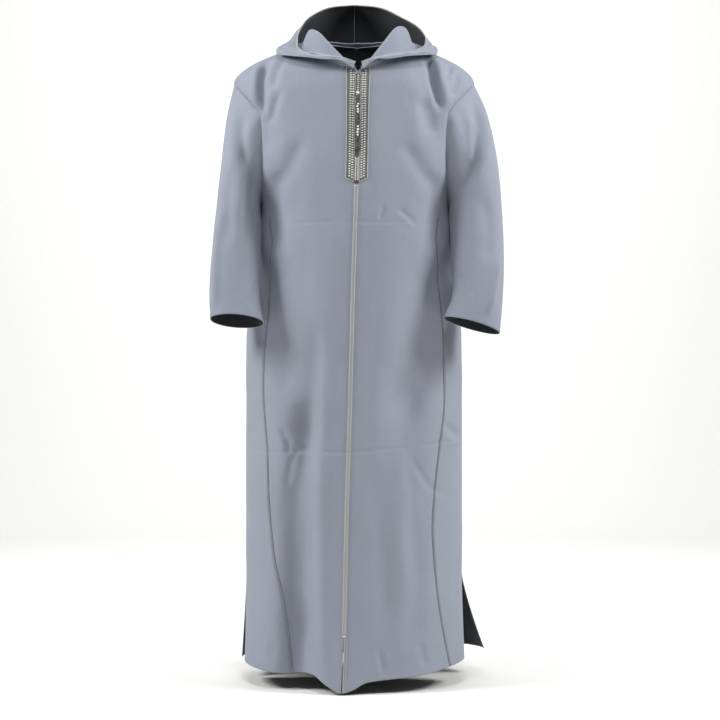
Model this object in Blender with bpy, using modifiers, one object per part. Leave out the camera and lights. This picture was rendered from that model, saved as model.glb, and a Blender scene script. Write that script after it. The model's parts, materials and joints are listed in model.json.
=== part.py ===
"""A man's hooded djellaba, kept in its worn, hollow form.

Metres, +Z up. The garment faces -Y and the wearer's left is +X. The origin is the middle of the
shoulders, where the wearer holds the garment up. Tables give heights above the floor.
"""

import math

import bmesh
import bpy
from mathutils import Matrix, Vector
from mathutils.bvhtree import BVHTree

SHOULDER_HEIGHT = 1.43
CLOTH = 0.002
TRIM = 0.0012
GAP = 0.0003
UNDERARM = 1.09
TOP_ROW = 1.50
V_HEIGHT = 1.404

FRONT, BACK = -1, 1
RIGHT, LEFT = -1, 1
SIDES = {"right": RIGHT, "left": LEFT}

# Body edges by row. Up to the underarm a row is its height above the floor; above it the rows
# climb the neckline on one edge and the armhole on the other, and meet at the shoulder line.
# row, centre line x, distance from the centre line, y, height
FRONT_CENTRE = [
    (0.000, -0.0270, 0.0030, -0.228, 0.000),
    (0.126, -0.0217, 0.00015, -0.215, 0.126),
    (0.300, -0.0180, 0.00015, -0.200, 0.300),
    (0.450, -0.0145, 0.00015, -0.190, 0.450),
    (0.650, -0.0085, 0.00015, -0.178, 0.650),
    (0.900, -0.0020, 0.00015, -0.170, 0.900),
    (1.050, 0.0030, 0.00015, -0.165, 1.050),
    (1.200, 0.0070, 0.00015, -0.155, 1.200),
    (1.345, 0.0090, 0.00015, -0.132, 1.345),
    (1.404, 0.0100, 0.00015, -0.120, 1.404),
    (1.440, 0.0080, 0.0370, -0.093, 1.437),
    (1.475, 0.0070, 0.0680, -0.052, 1.468),
    (1.500, 0.0070, 0.0850, -0.005, 1.490),
]
BACK_CENTRE = [
    (0.000, 0.0000, 0.0000, 0.190, 0.000),
    (0.300, 0.0000, 0.0000, 0.170, 0.300),
    (0.600, 0.0000, 0.0000, 0.152, 0.600),
    (0.850, 0.0000, 0.0000, 0.150, 0.850),
    (1.100, 0.0000, 0.0000, 0.136, 1.100),
    (1.280, 0.0030, 0.0000, 0.142, 1.285),
    (1.400, 0.0060, 0.0000, 0.122, 1.415),
    (1.450, 0.0070, 0.0000, 0.084, 1.492),
    (1.475, 0.0070, 0.0550, 0.064, 1.494),
    (1.500, 0.0070, 0.0850, -0.004, 1.490),
]
# row, half width, middle x, front y, back y, height; the side seam, then the armhole
SIDE_EDGE = [
    (0.000, 0.2540, 0.000, 0.000, 0.000, 0.000),
    (0.240, 0.2510, 0.000, 0.000, 0.000, 0.240),
    (0.500, 0.2520, 0.000, 0.000, 0.000, 0.500),
    (0.800, 0.2490, 0.000, 0.005, 0.005, 0.800),
    (0.880, 0.2420, 0.001, 0.008, 0.008, 0.880),
    (0.950, 0.2265, 0.002, 0.008, 0.008, 0.950),
    (1.030, 0.2225, 0.003, 0.004, 0.004, 1.030),
    (1.090, 0.2180, 0.003, 0.000, 0.000, 1.090),
    (1.200, 0.2115, 0.001, -0.058, 0.052, 1.170),
    (1.300, 0.2100, 0.000, -0.078, 0.074, 1.255),
    (1.350, 0.2150, 0.000, -0.079, 0.074, 1.308),
    (1.404, 0.2290, 0.000, -0.066, 0.062, 1.334),
    (1.450, 0.2520, 0.000, -0.040, 0.040, 1.360),
    (1.500, 0.2810, 0.000, -0.0002, 0.0002, 1.394),
]
# Above this row the rows run straighter, up to the slope of the shoulder line
SLOPE_ROW = 1.35
SHOULDER_SLOPE = 0.42
BODY_COLUMNS = 12
BODY_ROWS = [0.0, 0.05, 0.10, 0.126, 0.18, 0.24, 0.31, 0.38, 0.45, 0.52, 0.59, 0.66, 0.73, 0.80, 0.85,
             0.90, 0.95, 1.00, 1.045, 1.09, 1.14, 1.19, 1.24, 1.29, 1.33, 1.37, 1.404, 1.43, 1.455,
             1.48, 1.50]

# x, hem height of the front; the back hem is level between its corners
FRONT_HEM = [
    (-0.255, 0.045), (-0.155, 0.036), (-0.090, 0.038), (-0.060, 0.018), (-0.030, 0.002),
    (0.000, 0.010), (0.025, 0.024), (0.080, 0.030), (0.155, 0.036), (0.260, 0.056),
]
BACK_HEM = [(-0.26, 0.045), (-0.15, 0.030), (0.0, 0.025), (0.15, 0.030), (0.26, 0.058)]
HEM_REACH = 0.30

# The opening of a side slit at the hem: half opening in y, spread of the back corner in x
SIDE_SLIT_TOP = 0.236
SIDE_SLITS = {RIGHT: (0.014, 0.009), LEFT: (0.050, 0.054)}
POCKET_TOP, POCKET_BOTTOM, POCKET_HALF_OPENING = 1.060, 0.850, 0.007

# height, distance of the gore seam from x = 0
GORE_SEAMS = {
    RIGHT: [(0.00, 0.140), (0.105, 0.148), (0.20, 0.163), (0.29, 0.179), (0.40, 0.190),
            (0.54, 0.197), (0.65, 0.207), (0.90, 0.210), (1.01, 0.193), (1.09, 0.204)],
    LEFT: [(0.00, 0.219), (0.115, 0.201), (0.225, 0.188), (0.36, 0.179), (0.45, 0.185),
           (0.545, 0.196), (0.65, 0.208), (0.90, 0.209), (1.01, 0.194), (1.09, 0.205)],
}

# Folds of the cloth: x and height of the top, x and height of the bottom, half width,
# depth at the top, depth at the bottom (a trough is positive, a ridge negative)
FRONT_FOLDS = [
    (-0.085, 0.52, -0.125, -0.05, 0.045, 0.000, 0.062),
    (0.060, 0.30, 0.075, -0.05, 0.050, 0.000, 0.010),
    (-0.125, 0.92, -0.105, 0.58, 0.040, 0.004, 0.016),
    (-0.105, 0.58, -0.110, 0.30, 0.040, 0.016, 0.006),
    (-0.075, 0.70, -0.080, 0.10, 0.022, -0.004, -0.010),
    (0.145, 0.92, 0.120, 0.66, 0.042, 0.006, 0.016),
    (0.120, 0.66, 0.100, 0.42, 0.042, 0.016, 0.000),
    (-0.200, 1.42, -0.195, 1.26, 0.026, 0.012, 0.006),
    (0.155, 1.45, 0.185, 1.27, 0.026, 0.014, 0.006),
]
BACK_FOLDS = [
    (0.020, 1.20, 0.030, 0.05, 0.055, 0.002, 0.020),
    (-0.120, 1.10, -0.125, 0.05, 0.045, 0.004, 0.014),
    (0.150, 1.00, 0.160, 0.10, 0.045, 0.002, 0.012),
    (-0.050, 0.90, -0.045, 0.05, 0.035, -0.002, -0.010),
    (0.090, 0.80, 0.095, 0.05, 0.035, -0.002, -0.008),
]

# Sleeve rings from the armhole to the cuff: outer x and height, inner x and height, centre y,
# half depth, how much lower the back edge hangs, how much of the armhole's shape is left
SLEEVES = {
    RIGHT: [
        (0.2830, 1.394, 0.2145, 1.092, 0.000, 0.080, 0.000, 1.00),
        (0.2970, 1.330, 0.2180, 1.082, -0.007, 0.078, 0.000, 0.60),
        (0.3050, 1.262, 0.2190, 1.062, -0.022, 0.076, 0.000, 0.25),
        (0.3110, 1.190, 0.2170, 1.028, -0.043, 0.073, 0.001, 0.06),
        (0.3180, 1.110, 0.2160, 0.985, -0.062, 0.068, 0.002, 0.00),
        (0.3245, 1.030, 0.2155, 0.940, -0.079, 0.062, 0.004, 0.00),
        (0.3295, 0.960, 0.2160, 0.905, -0.095, 0.055, 0.006, 0.00),
        (0.3315, 0.894, 0.2130, 0.866, -0.110, 0.047, 0.012, 0.00),
        (0.3290, 0.838, 0.2050, 0.830, -0.122, 0.041, 0.015, 0.00),
    ],
    LEFT: [
        (0.2850, 1.394, 0.2145, 1.092, 0.000, 0.080, 0.000, 1.00),
        (0.3090, 1.337, 0.2200, 1.086, -0.007, 0.078, 0.000, 0.60),
        (0.3255, 1.268, 0.2240, 1.074, -0.022, 0.076, 0.000, 0.25),
        (0.3370, 1.190, 0.2250, 1.040, -0.043, 0.073, 0.001, 0.06),
        (0.3420, 1.105, 0.2240, 0.995, -0.062, 0.068, 0.002, 0.00),
        (0.3450, 1.020, 0.2245, 0.950, -0.079, 0.062, 0.004, 0.00),
        (0.3440, 0.945, 0.2265, 0.912, -0.095, 0.055, 0.006, 0.00),
        (0.3400, 0.875, 0.2215, 0.880, -0.110, 0.047, 0.008, 0.00),
        (0.3335, 0.806, 0.2055, 0.842, -0.122, 0.041, 0.009, 0.00),
    ],
}

# Above the underarm a front widens from the gore seam to the armhole within this height, the
# gore's point stops this much lower, and its gap to the front grows by this turn
GORE_POINT, GORE_TIP, GORE_TIP_GAP = 0.05, 0.008, 0.006

# How far a sleeve stands off the armhole, and how much more of that at the underarm
ARMHOLE_GAP, UNDERARM_GAP = 0.0032, 0.002

# Hood sections from the V round to the centre back: the neckline seam, the outermost fold,
# the control point of the upper layer and the rim, each as distance from x = 0, y, height
HOODS = {
    RIGHT: [
        ((-0.004, -0.120, 1.410), (-0.001, -0.133, 1.408), (0.000, -0.135, 1.418), (-0.003, -0.128, 1.424)),
        ((0.0180, -0.108, 1.429), (0.0300, -0.133, 1.430), (0.0300, -0.135, 1.438), (0.0300, -0.122, 1.443)),
        ((0.0410, -0.083, 1.452), (0.0700, -0.130, 1.437), (0.0720, -0.131, 1.445), (0.0680, -0.118, 1.447)),
        ((0.0620, -0.050, 1.474), (0.1250, -0.112, 1.444), (0.1250, -0.110, 1.455), (0.1050, -0.095, 1.454)),
        ((0.0760, -0.005, 1.496), (0.1840, -0.045, 1.452), (0.1600, -0.045, 1.476), (0.1310, -0.050, 1.474)),
        ((0.0740, 0.030, 1.499), (0.1770, 0.025, 1.454), (0.1580, 0.020, 1.506), (0.1325, -0.010, 1.502)),
        ((0.0610, 0.055, 1.500), (0.1720, 0.095, 1.410), (0.1450, 0.075, 1.540), (0.1240, 0.015, 1.530)),
        ((0.0390, 0.071, 1.501), (0.1350, 0.150, 1.290), (0.1200, 0.140, 1.560), (0.1060, 0.050, 1.560)),
        ((0.0180, 0.079, 1.502), (0.0670, 0.176, 1.150), (0.0620, 0.180, 1.585), (0.0620, 0.090, 1.590)),
        ((0.0012, 0.082, 1.502), (0.0012, 0.182, 1.080), (0.0012, 0.200, 1.570), (0.0012, 0.115, 1.602)),
    ],
    LEFT: [
        ((0.0160, -0.120, 1.410), (0.0190, -0.133, 1.408), (0.0200, -0.135, 1.418), (0.0170, -0.128, 1.424)),
        ((0.0340, -0.108, 1.429), (0.0460, -0.133, 1.431), (0.0460, -0.135, 1.440), (0.0460, -0.122, 1.444)),
        ((0.0550, -0.083, 1.452), (0.0850, -0.130, 1.437), (0.0870, -0.131, 1.446), (0.0840, -0.118, 1.450)),
        ((0.0760, -0.050, 1.474), (0.1400, -0.112, 1.444), (0.1420, -0.110, 1.455), (0.1300, -0.095, 1.457)),
        ((0.0900, -0.005, 1.496), (0.1960, -0.045, 1.452), (0.1860, -0.045, 1.474), (0.1660, -0.050, 1.474)),
        ((0.0880, 0.030, 1.499), (0.1900, 0.025, 1.458), (0.1820, 0.020, 1.500), (0.1680, -0.005, 1.500)),
        ((0.0750, 0.055, 1.500), (0.1820, 0.095, 1.410), (0.1650, 0.075, 1.530), (0.1500, 0.020, 1.532)),
        ((0.0530, 0.071, 1.501), (0.1400, 0.150, 1.290), (0.1280, 0.140, 1.565), (0.1120, 0.050, 1.560)),
        ((0.0260, 0.079, 1.502), (0.0720, 0.176, 1.150), (0.0620, 0.180, 1.585), (0.0640, 0.090, 1.590)),
        ((0.0012, 0.082, 1.502), (0.0012, 0.182, 1.080), (0.0012, 0.200, 1.570), (0.0012, 0.115, 1.602)),
    ],
}
HOOD_CLEARANCE, HOOD_REACH = 0.0125, 0.03

PLACKET_BOTTOM = 1.145
PLACKET_CHANNEL = 0.0063
PLACKET_TOP_WIDTH, PLACKET_WIDTH = 0.0270, 0.0235
SLIDER_HEIGHT, PULL_X, HINGE_LIFT, PULL_END_LIFT = 1.350, 0.009, 0.0095, 0.0075
PULL_LENGTH, PULL_WIDTH, PULL_THICKNESS = 0.132, 0.010, 0.0034
STRIP_START, NECK_THICKNESS = 0.0052, 0.0022
EYE_LENGTH, EYE_RADIUS, PIN_RADIUS = 0.0042, 0.0019, 0.0008
SLIDER_WIDTH, SLIDER_THICKNESS, SLIDER_LENGTH, SLIDER_DEPTH = 0.0078, 0.0026, 0.010, 0.0042
EAR_WIDTH, EAR_HEIGHT, EAR_REACH = 0.0014, 0.0034, 0.0012
BRAID_WIDTH = 0.011
SEAM_CORD_WIDTH = 0.0026
SLIT_TACK_HEIGHT, SLIT_TACK_SIZE = 0.126, (0.010, 0.0014, 0.0045)
GORE_BRAID_LIFT, POCKET_BRAID_LIFT = 0.0006, 0.0011
# A pocket braid's edges, as turns in from the side seam
POCKET_BRAID_INSET, POCKET_BRAID_TURN = 0.0015, 0.022


# ---------------------------------------------------------------- curves and tables

def smooth_row(table, key):
    """Read a table at a key, with a smooth curve through its rows."""
    key = min(max(key, table[0][0]), table[-1][0])
    last = len(table) - 2
    index = 0
    while index < last and key > table[index + 1][0]:
        index += 1
    low, high = table[index], table[index + 1]
    before = table[max(index - 1, 0)]
    after = table[min(index + 2, len(table) - 1)]
    span = high[0] - low[0]
    part = (key - low[0]) / span
    values = []
    for column in range(1, len(low)):
        rise = high[column] - low[column]
        slope_low = slope_high = rise
        if before is not low:
            slope_low = (high[column] - before[column]) / (high[0] - before[0]) * span
        if after is not high:
            slope_high = (after[column] - low[column]) / (after[0] - low[0]) * span
        limit = 3 * abs(rise)
        slope_low = max(-limit, min(limit, slope_low)) if slope_low * rise > 0 else 0.0
        slope_high = max(-limit, min(limit, slope_high)) if slope_high * rise > 0 else 0.0
        values.append(hermite(low[column], high[column], slope_low, slope_high, part))
    return values


def hermite(start, end, slope_start, slope_end, part):
    """Cubic from start to end with the given slopes."""
    square, cube = part * part, part ** 3
    return (start * (2 * cube - 3 * square + 1) + slope_start * (cube - 2 * square + part)
            + end * (3 * square - 2 * cube) + slope_end * (cube - square))


def to_frame(x, y, height):
    """A point from its height above the floor."""
    return Vector((x, y, height - SHOULDER_HEIGHT))


# ---------------------------------------------------------------- the body's surface

def fold_depth(folds, x, height):
    """How far the folds push the cloth in at a point."""
    depth = 0.0
    for x_top, h_top, x_bottom, h_bottom, width, depth_top, depth_bottom in folds:
        part = (h_top - height) / (h_top - h_bottom)
        if not -0.35 < part < 1.35:
            continue
        along = min(max(part, 0.0), 1.0)
        fade = 1.0 - min(1.0, abs(part - along) / 0.35)
        across = (x - x_top - (x_bottom - x_top) * part) / width
        strength = depth_top + (depth_bottom - depth_top) * along
        depth += strength * fade * fade * (3 - 2 * fade) * math.exp(-across * across)
    return depth


def side_opening(side, face, row):
    """How far a side seam's edge stands off it: in x and in y."""
    opening_y, spread = SIDE_SLITS[side]
    shift_x, shift_y = 0.0, GAP / 2
    if row < SIDE_SLIT_TOP:
        share = 1 - row / SIDE_SLIT_TOP
        shift_y += opening_y * share
        shift_x = spread * share ** 1.25 if face == BACK else 0.0
    if POCKET_BOTTOM < row < POCKET_TOP:
        share = (row - POCKET_BOTTOM) / (POCKET_TOP - POCKET_BOTTOM)
        shift_y += POCKET_HALF_OPENING * math.sin(math.pi * share)
    return shift_x, shift_y * face


def side_point(side, face, row):
    """The outer edge of a panel: side seam, then armhole."""
    half_width, middle, front_y, back_y, height = smooth_row(SIDE_EDGE, row)
    shift_x, shift_y = side_opening(side, face, row)
    y = front_y if face == FRONT else back_y
    return middle + side * (half_width + shift_x), y + shift_y, height


def centre_point(side, face, row):
    """The inner edge of a panel: centre line, then neckline."""
    centre_x, spread, y, height = smooth_row(FRONT_CENTRE if face == FRONT else BACK_CENTRE, row)
    return centre_x + side * spread, y, height


def body_point(side, face, turn, row):
    """A point of the body's cloth; turn runs from 0 at the centre line to 1 at the side."""
    inner = centre_point(side, face, row)
    outer = side_point(side, face, row)
    angle = turn * math.pi / 2
    x = inner[0] + (outer[0] - inner[0]) * math.sin(angle)
    y = outer[1] + (inner[1] - outer[1]) * math.cos(angle)
    slope = SHOULDER_SLOPE * max(0.0, (row - SLOPE_ROW) / (TOP_ROW - SLOPE_ROW))
    drop = (1 - math.cos(angle)) * (1 - slope) + math.sin(angle) * slope
    height = inner[2] + (outer[2] - inner[2]) * drop
    edge_fade = min(1.0, (1 - turn) / 0.2, (TOP_ROW - row) / 0.08)
    folds = FRONT_FOLDS if face == FRONT else BACK_FOLDS
    y -= face * fold_depth(folds, x, height) * edge_fade
    if row < HEM_REACH:
        hem = smooth_row(FRONT_HEM if face == FRONT else BACK_HEM, x)[0]
        height += hem * (1 - row / HEM_REACH)
    return to_frame(x, y, height)


def turn_at(side, face, row, x):
    """Where a row passes x, as its turn."""
    inner = centre_point(side, face, row)[0]
    outer = side_point(side, face, row)[0]
    share = (x - inner) / (outer - inner)
    return math.asin(min(max(share, 0.0), 1.0)) * 2 / math.pi


def gore_turn(side, row, shift):
    """Where the gore seam crosses a row of the front."""
    distance = smooth_row(GORE_SEAMS[side], row)[0]
    return turn_at(side, FRONT, row, side * (distance + shift))


def front_edge(side, row, shift):
    """The turn where a front ends: at the gore seam, and above the underarm at the armhole."""
    seam = gore_turn(side, min(row, UNDERARM), shift)
    above = min(1.0, max(0.0, (row - UNDERARM) / GORE_POINT))
    return seam + (1 - seam) * above


def body_normal(side, face, turn, row):
    """The outward normal of the body's cloth."""
    step = 0.004
    low_turn, high_turn = max(turn - step, 0), min(turn + step, 1)
    across = body_point(side, face, high_turn, row) - body_point(side, face, low_turn, row)
    along = body_point(side, face, turn, row + step) - body_point(side, face, turn, row - step)
    normal = across.cross(along).normalized()
    return normal if normal.y * face >= 0 else -normal


# ---------------------------------------------------------------- making solids

def material(name, colour, roughness, metallic=0.0):
    made = bpy.data.materials.new(name)
    made.use_nodes = True
    shader = made.node_tree.nodes["Principled BSDF"]
    shader.inputs["Base Color"].default_value = (*colour, 1)
    shader.inputs["Roughness"].default_value = roughness
    shader.inputs["Metallic"].default_value = metallic
    made.diffuse_color = (*colour, 1)
    return made


def add_object(name, mesh, colour, roughness, metallic=0.0):
    mesh.materials.append(material(name, colour, roughness, metallic))
    made = bpy.data.objects.new(name, mesh)
    robe.objects.link(made)
    return made


def add_wall(made, thickness, offset=1.0):
    wall = made.modifiers.new("wall", "SOLIDIFY")
    wall.thickness = thickness
    wall.offset = offset
    return made


def lay_grid(form, surface, columns, rows, flip):
    """Lay a grid on surface(across, along), both from 0 to 1."""
    corners = bmesh.ops.create_grid(form, x_segments=columns, y_segments=rows, size=0.5)["verts"]
    for vertex in corners:
        vertex.co = surface(vertex.co.x + 0.5, vertex.co.y + 0.5)
    if flip:
        bmesh.ops.reverse_faces(form, faces=list({face for vertex in corners for face in vertex.link_faces}))


def sheet(name, surface, columns, rows, flip, colour, thickness=CLOTH, offset=1.0, roughness=0.85,
          mirror_surface=None):
    """A cloth wall on a surface, with a second half laid the other way round if one is given."""
    form = bmesh.new()
    lay_grid(form, surface, columns, rows, flip)
    if mirror_surface:
        lay_grid(form, mirror_surface, columns, rows, not flip)
    bmesh.ops.remove_doubles(form, verts=form.verts, dist=0.00005)
    mesh = bpy.data.meshes.new(name)
    form.to_mesh(mesh)
    form.free()
    mesh.shade_smooth()
    return add_wall(add_object(name, mesh, colour, roughness), thickness, offset)


def row_between(rows, along):
    """The body row at a share of a list of rows, counted row by row."""
    place = along * (len(rows) - 1)
    index = min(int(place + 1e-6), len(rows) - 2)
    return rows[index] + (rows[index + 1] - rows[index]) * (place - index)


# ---------------------------------------------------------------- the pieces of cloth

CLOTH_COLOUR = (0.33, 0.37, 0.46)
BRAID_COLOUR = (0.40, 0.40, 0.40)
METAL_COLOUR = (0.40, 0.40, 0.40)


def make_front(word, side):
    rows = BODY_ROWS

    def surface(across, along):
        row = row_between(rows, along)
        return body_point(side, FRONT, across * front_edge(side, row, -GAP / 2), row)

    sheet("front_" + word, surface, 10, len(rows) - 1, side == RIGHT, CLOTH_COLOUR)


def make_gore(word, side):
    rows = [*[row for row in BODY_ROWS if row <= UNDERARM], UNDERARM + GORE_POINT - GORE_TIP]

    def surface(across, along):
        row = row_between(rows, along)
        edge = front_edge(side, row, GAP) + GORE_TIP_GAP * max(0.0, row - UNDERARM) / GORE_POINT
        return body_point(side, FRONT, edge + (1 - edge) * across, row)

    sheet("gore_" + word, surface, 4, len(rows) - 1, side == RIGHT, CLOTH_COLOUR)


def make_back():
    rows = BODY_ROWS

    def half(side):
        return lambda across, along: body_point(side, BACK, across, row_between(rows, along))

    sheet("back", half(LEFT), 8, len(rows) - 1, True, CLOTH_COLOUR, mirror_surface=half(RIGHT))


def armhole_point(side, face, share):
    """The armhole edge, from the shoulder point at 0 to the underarm at 1."""
    row = TOP_ROW + (UNDERARM - TOP_ROW) * share
    x, y, height = side_point(side, face, row)
    return Vector((x, y, height))


def sleeve_point(side, around, along):
    """A point of a sleeve; around starts at the outer line and passes the front first."""
    rings = [(index, *ring) for index, ring in enumerate(SLEEVES[side])]
    ring = smooth_row(rings, along * (len(rings) - 1))
    outer_x, outer_h, inner_x, inner_h, centre_y, half_depth, back_drop, armhole_share = ring
    angle = around * 2 * math.pi
    face = FRONT if around <= 0.5 else BACK
    share = 2 * around if face == FRONT else 2 - 2 * around
    reach = (1 + math.cos(angle)) / 2
    x = side * (inner_x + (outer_x - inner_x) * reach)
    height = inner_h + (outer_h - inner_h) * reach + back_drop * math.sin(angle)
    y = centre_y - half_depth * math.sin(angle)
    plain = Vector((x, y, height))
    first = SLEEVES[side][0]
    shoulder = Vector((side * (outer_x - first[0]), centre_y, outer_h - first[1]))
    underarm = Vector((side * (inner_x - first[2]), centre_y, inner_h - first[3]))
    seam_gap = Vector((side * (ARMHOLE_GAP + UNDERARM_GAP * share), 0, UNDERARM_GAP * share))
    cap = armhole_point(side, face, share) + seam_gap + shoulder.lerp(underarm, share)
    point = plain.lerp(cap, armhole_share)
    return to_frame(*point)


def make_sleeve(word, side):
    def surface(around, along):
        return sleeve_point(side, around % 1.0, along)

    sheet("sleeve_" + word, surface, 18, 14, side == LEFT, CLOTH_COLOUR)


def bezier(start, control, end, part):
    return start * (1 - part) ** 2 + control * 2 * part * (1 - part) + end * part ** 2


def hood_point(side, across, along, body):
    """A point of the hood; across runs seam, fold, rim, and along runs V to centre back."""
    sections = [(index, *sum(section, ())) for index, section in enumerate(HOODS[side])]
    values = smooth_row(sections, along * (len(sections) - 1))
    seam, fold, control, rim = [Vector(values[start:start + 3]) for start in (0, 3, 6, 9)]
    if across < 0.5:
        under = (seam + fold) / 2
        point = bezier(seam, under, fold, across * 2)
    else:
        point = bezier(fold, control, rim, across * 2 - 1)
    placed = to_frame(side * point.x, point.y, point.z)
    nearest, normal, _, distance = body.find_nearest(placed)
    height_over = (placed - nearest).dot(normal)
    if height_over < HOOD_CLEARANCE and distance < HOOD_REACH:
        placed += normal * (HOOD_CLEARANCE - height_over)
    return placed


def body_tree():
    """The body's outer surface, for laying the hood on it."""
    points, faces = [], []
    for side in (RIGHT, LEFT):
        for face in (FRONT, BACK):
            flip = side * face > 0
            start, line = len(points), BODY_COLUMNS + 1
            for row in BODY_ROWS:
                for column in range(line):
                    points.append(body_point(side, face, column / BODY_COLUMNS, row))
            for index in range(len(BODY_ROWS) - 1):
                for column in range(BODY_COLUMNS):
                    corner = start + line * index + column
                    quad = [corner, corner + 1, corner + line + 1, corner + line]
                    faces.append(quad[::-1] if flip else quad)
    return BVHTree.FromPolygons(points, faces)


def make_hood(word, side, body):
    def surface(across, along):
        return hood_point(side, across, along, body)

    sheet("hood_" + word, surface, 14, 18, side == LEFT, CLOTH_COLOUR, offset=0.0)


# ---------------------------------------------------------------- braid, placket and zip

def laid_on_front(side, distance, row, lift):
    """A point over the front, at a distance from its centre line."""
    inner = centre_point(side, FRONT, row)[0]
    turn = turn_at(side, FRONT, row, inner + side * distance)
    return body_point(side, FRONT, turn, row) + body_normal(side, FRONT, turn, row) * lift


def make_placket(word, side):
    def surface(across, along):
        row = PLACKET_BOTTOM + (V_HEIGHT - 0.006 - PLACKET_BOTTOM) * along
        width = PLACKET_WIDTH + (PLACKET_TOP_WIDTH - PLACKET_WIDTH) * max(0.0, 2 * along - 1)
        lower = 0.010 * across * max(0.0, 1 - along * 8)
        distance = PLACKET_CHANNEL + (width - PLACKET_CHANNEL) * across
        return laid_on_front(side, distance, row + lower, CLOTH + GAP)

    sheet("placket_" + word, surface, 3, 12, side == RIGHT, (0.25, 0.25, 0.22), 0.0016)


def make_zip_tape(word, side):
    def surface(across, along):
        row = PLACKET_BOTTOM + (V_HEIGHT - 0.006 - PLACKET_BOTTOM) * along
        distance = GAP / 2 + (PLACKET_CHANNEL - 0.0008) * across
        return laid_on_front(side, distance, row, CLOTH + GAP)

    sheet("zip_tape_" + word, surface, 1, 12, side == RIGHT, (0.22, 0.22, 0.19), 0.001)


def pull_frame():
    """Where the pull hangs: its hinge point and its direction down the placket."""
    hinge = laid_on_front(LEFT, 0.0, SLIDER_HEIGHT, HINGE_LIFT)
    low = laid_on_front(LEFT, 0.0, SLIDER_HEIGHT - PULL_LENGTH, PULL_END_LIFT)
    hinge.x = low.x = PULL_X
    return hinge, (low - hinge).normalized()


def box_mesh(name, size, place=(0, 0, 0)):
    form = bmesh.new()
    bmesh.ops.create_cube(form, size=1.0, matrix=Matrix.Translation(place) @ Matrix.Diagonal((*size, 1)))
    mesh = bpy.data.meshes.new(name)
    form.to_mesh(mesh)
    form.free()
    return mesh


def rod_mesh(name, radius, length):
    """A round rod along X."""
    form = bmesh.new()
    bmesh.ops.create_cone(form, cap_ends=True, segments=32, radius1=radius, radius2=radius, depth=length,
                          matrix=Matrix.Rotation(math.pi / 2, 4, "Y"))
    mesh = bpy.data.meshes.new(name)
    form.to_mesh(mesh)
    form.free()
    return mesh


def place_at(made, place, turn):
    made.location = place
    made.rotation_euler = turn
    return made


def round_edges(made, width, segments):
    rounded = made.modifiers.new("edges", "BEVEL")
    rounded.width = width
    rounded.segments = segments


def combine(made, mesh, operation):
    """Join a mesh to a piece, or cut it out of the piece, in the piece's own place."""
    tool = bpy.data.objects.new(mesh.name, mesh)
    cutters.objects.link(tool)
    place_at(tool, made.location, made.rotation_euler)
    tool.hide_render = True
    tool.display_type = "WIRE"
    step = made.modifiers.new(mesh.name, "BOOLEAN")
    step.operation = operation
    step.object = tool


def pull_place():
    """Where the slider and the pull are placed: on the pull's hinge, with -Z down the placket."""
    hinge, down = pull_frame()
    return hinge, (-math.atan2(-down.y, -down.z), 0, 0)


def make_zip_slider():
    """The slider: a plate with two ears that hold the pull's pin."""
    plate = box_mesh("zip_slider", (SLIDER_WIDTH, SLIDER_THICKNESS, SLIDER_LENGTH), (0, SLIDER_DEPTH, 0.001))
    made = place_at(add_object("zip_slider", plate, METAL_COLOUR, 0.35, 1.0), *pull_place())
    round_edges(made, 0.0004, 2)
    ear_depth = SLIDER_DEPTH + EAR_REACH
    for side, word in ((RIGHT, "right"), (LEFT, "left")):
        place = (side * (EYE_LENGTH / 2 + GAP + EAR_WIDTH / 2), SLIDER_DEPTH - ear_depth / 2, 0)
        combine(made, box_mesh("ear_" + word, (EAR_WIDTH, ear_depth, EAR_HEIGHT), place), "UNION")
    combine(made, rod_mesh("pin", PIN_RADIUS, EYE_LENGTH + 2 * GAP + EAR_WIDTH), "UNION")


def make_zip_pull():
    """The flat beaded pull, hung by an eye on the slider's pin; its origin is on its hinge."""
    strip_length = PULL_LENGTH - STRIP_START
    strip = box_mesh("zip_pull", (PULL_WIDTH, PULL_THICKNESS, strip_length),
                     (0, 0, -STRIP_START - strip_length / 2))
    made = place_at(add_object("zip_pull", strip, (0.03, 0.03, 0.03), 0.4), *pull_place())
    round_edges(made, 0.0012, 3)
    neck = box_mesh("pull_neck", (EYE_LENGTH, NECK_THICKNESS, STRIP_START + 0.001), (0, 0, -STRIP_START / 2))
    combine(made, neck, "UNION")
    combine(made, rod_mesh("pull_eye", EYE_RADIUS, EYE_LENGTH), "UNION")
    combine(made, rod_mesh("pull_eye_hole", PIN_RADIUS + GAP, EYE_LENGTH + 0.002), "DIFFERENCE")


def make_centre_braid():
    """The braid over the centre seam, from the placket's point to the slit."""
    def surface(across, along):
        row = SLIT_TACK_HEIGHT + 0.004 + (PLACKET_BOTTOM - 0.004 - SLIT_TACK_HEIGHT - 0.004) * along
        share = 2 * across - 1
        side = RIGHT if share < 0 else LEFT
        width = BRAID_WIDTH * (0.75 + 0.25 * along)
        return laid_on_front(side, abs(share) * width / 2, row, CLOTH + GAP)

    sheet("centre_braid", surface, 2, 30, False, BRAID_COLOUR, TRIM)


def make_slit_braid():
    """The same braid down the left lip of the front slit."""
    def surface(across, along):
        row = 0.001 + (SLIT_TACK_HEIGHT - 0.006) * along
        return laid_on_front(LEFT, 0.0006 + BRAID_WIDTH * 0.7 * across, row, CLOTH + GAP)

    sheet("slit_braid", surface, 1, 5, False, BRAID_COLOUR, TRIM)


def make_slit_tack():
    width, thickness, height = SLIT_TACK_SIZE
    place = laid_on_front(LEFT, 0.0, SLIT_TACK_HEIGHT, CLOTH + GAP + TRIM + 0.0004)
    made = add_object("slit_tack", box_mesh("slit_tack", (width, thickness, height)), BRAID_COLOUR, 0.8)
    place_at(made, place, (0, 0, 0))
    round_edges(made, 0.0004, 2)


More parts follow.
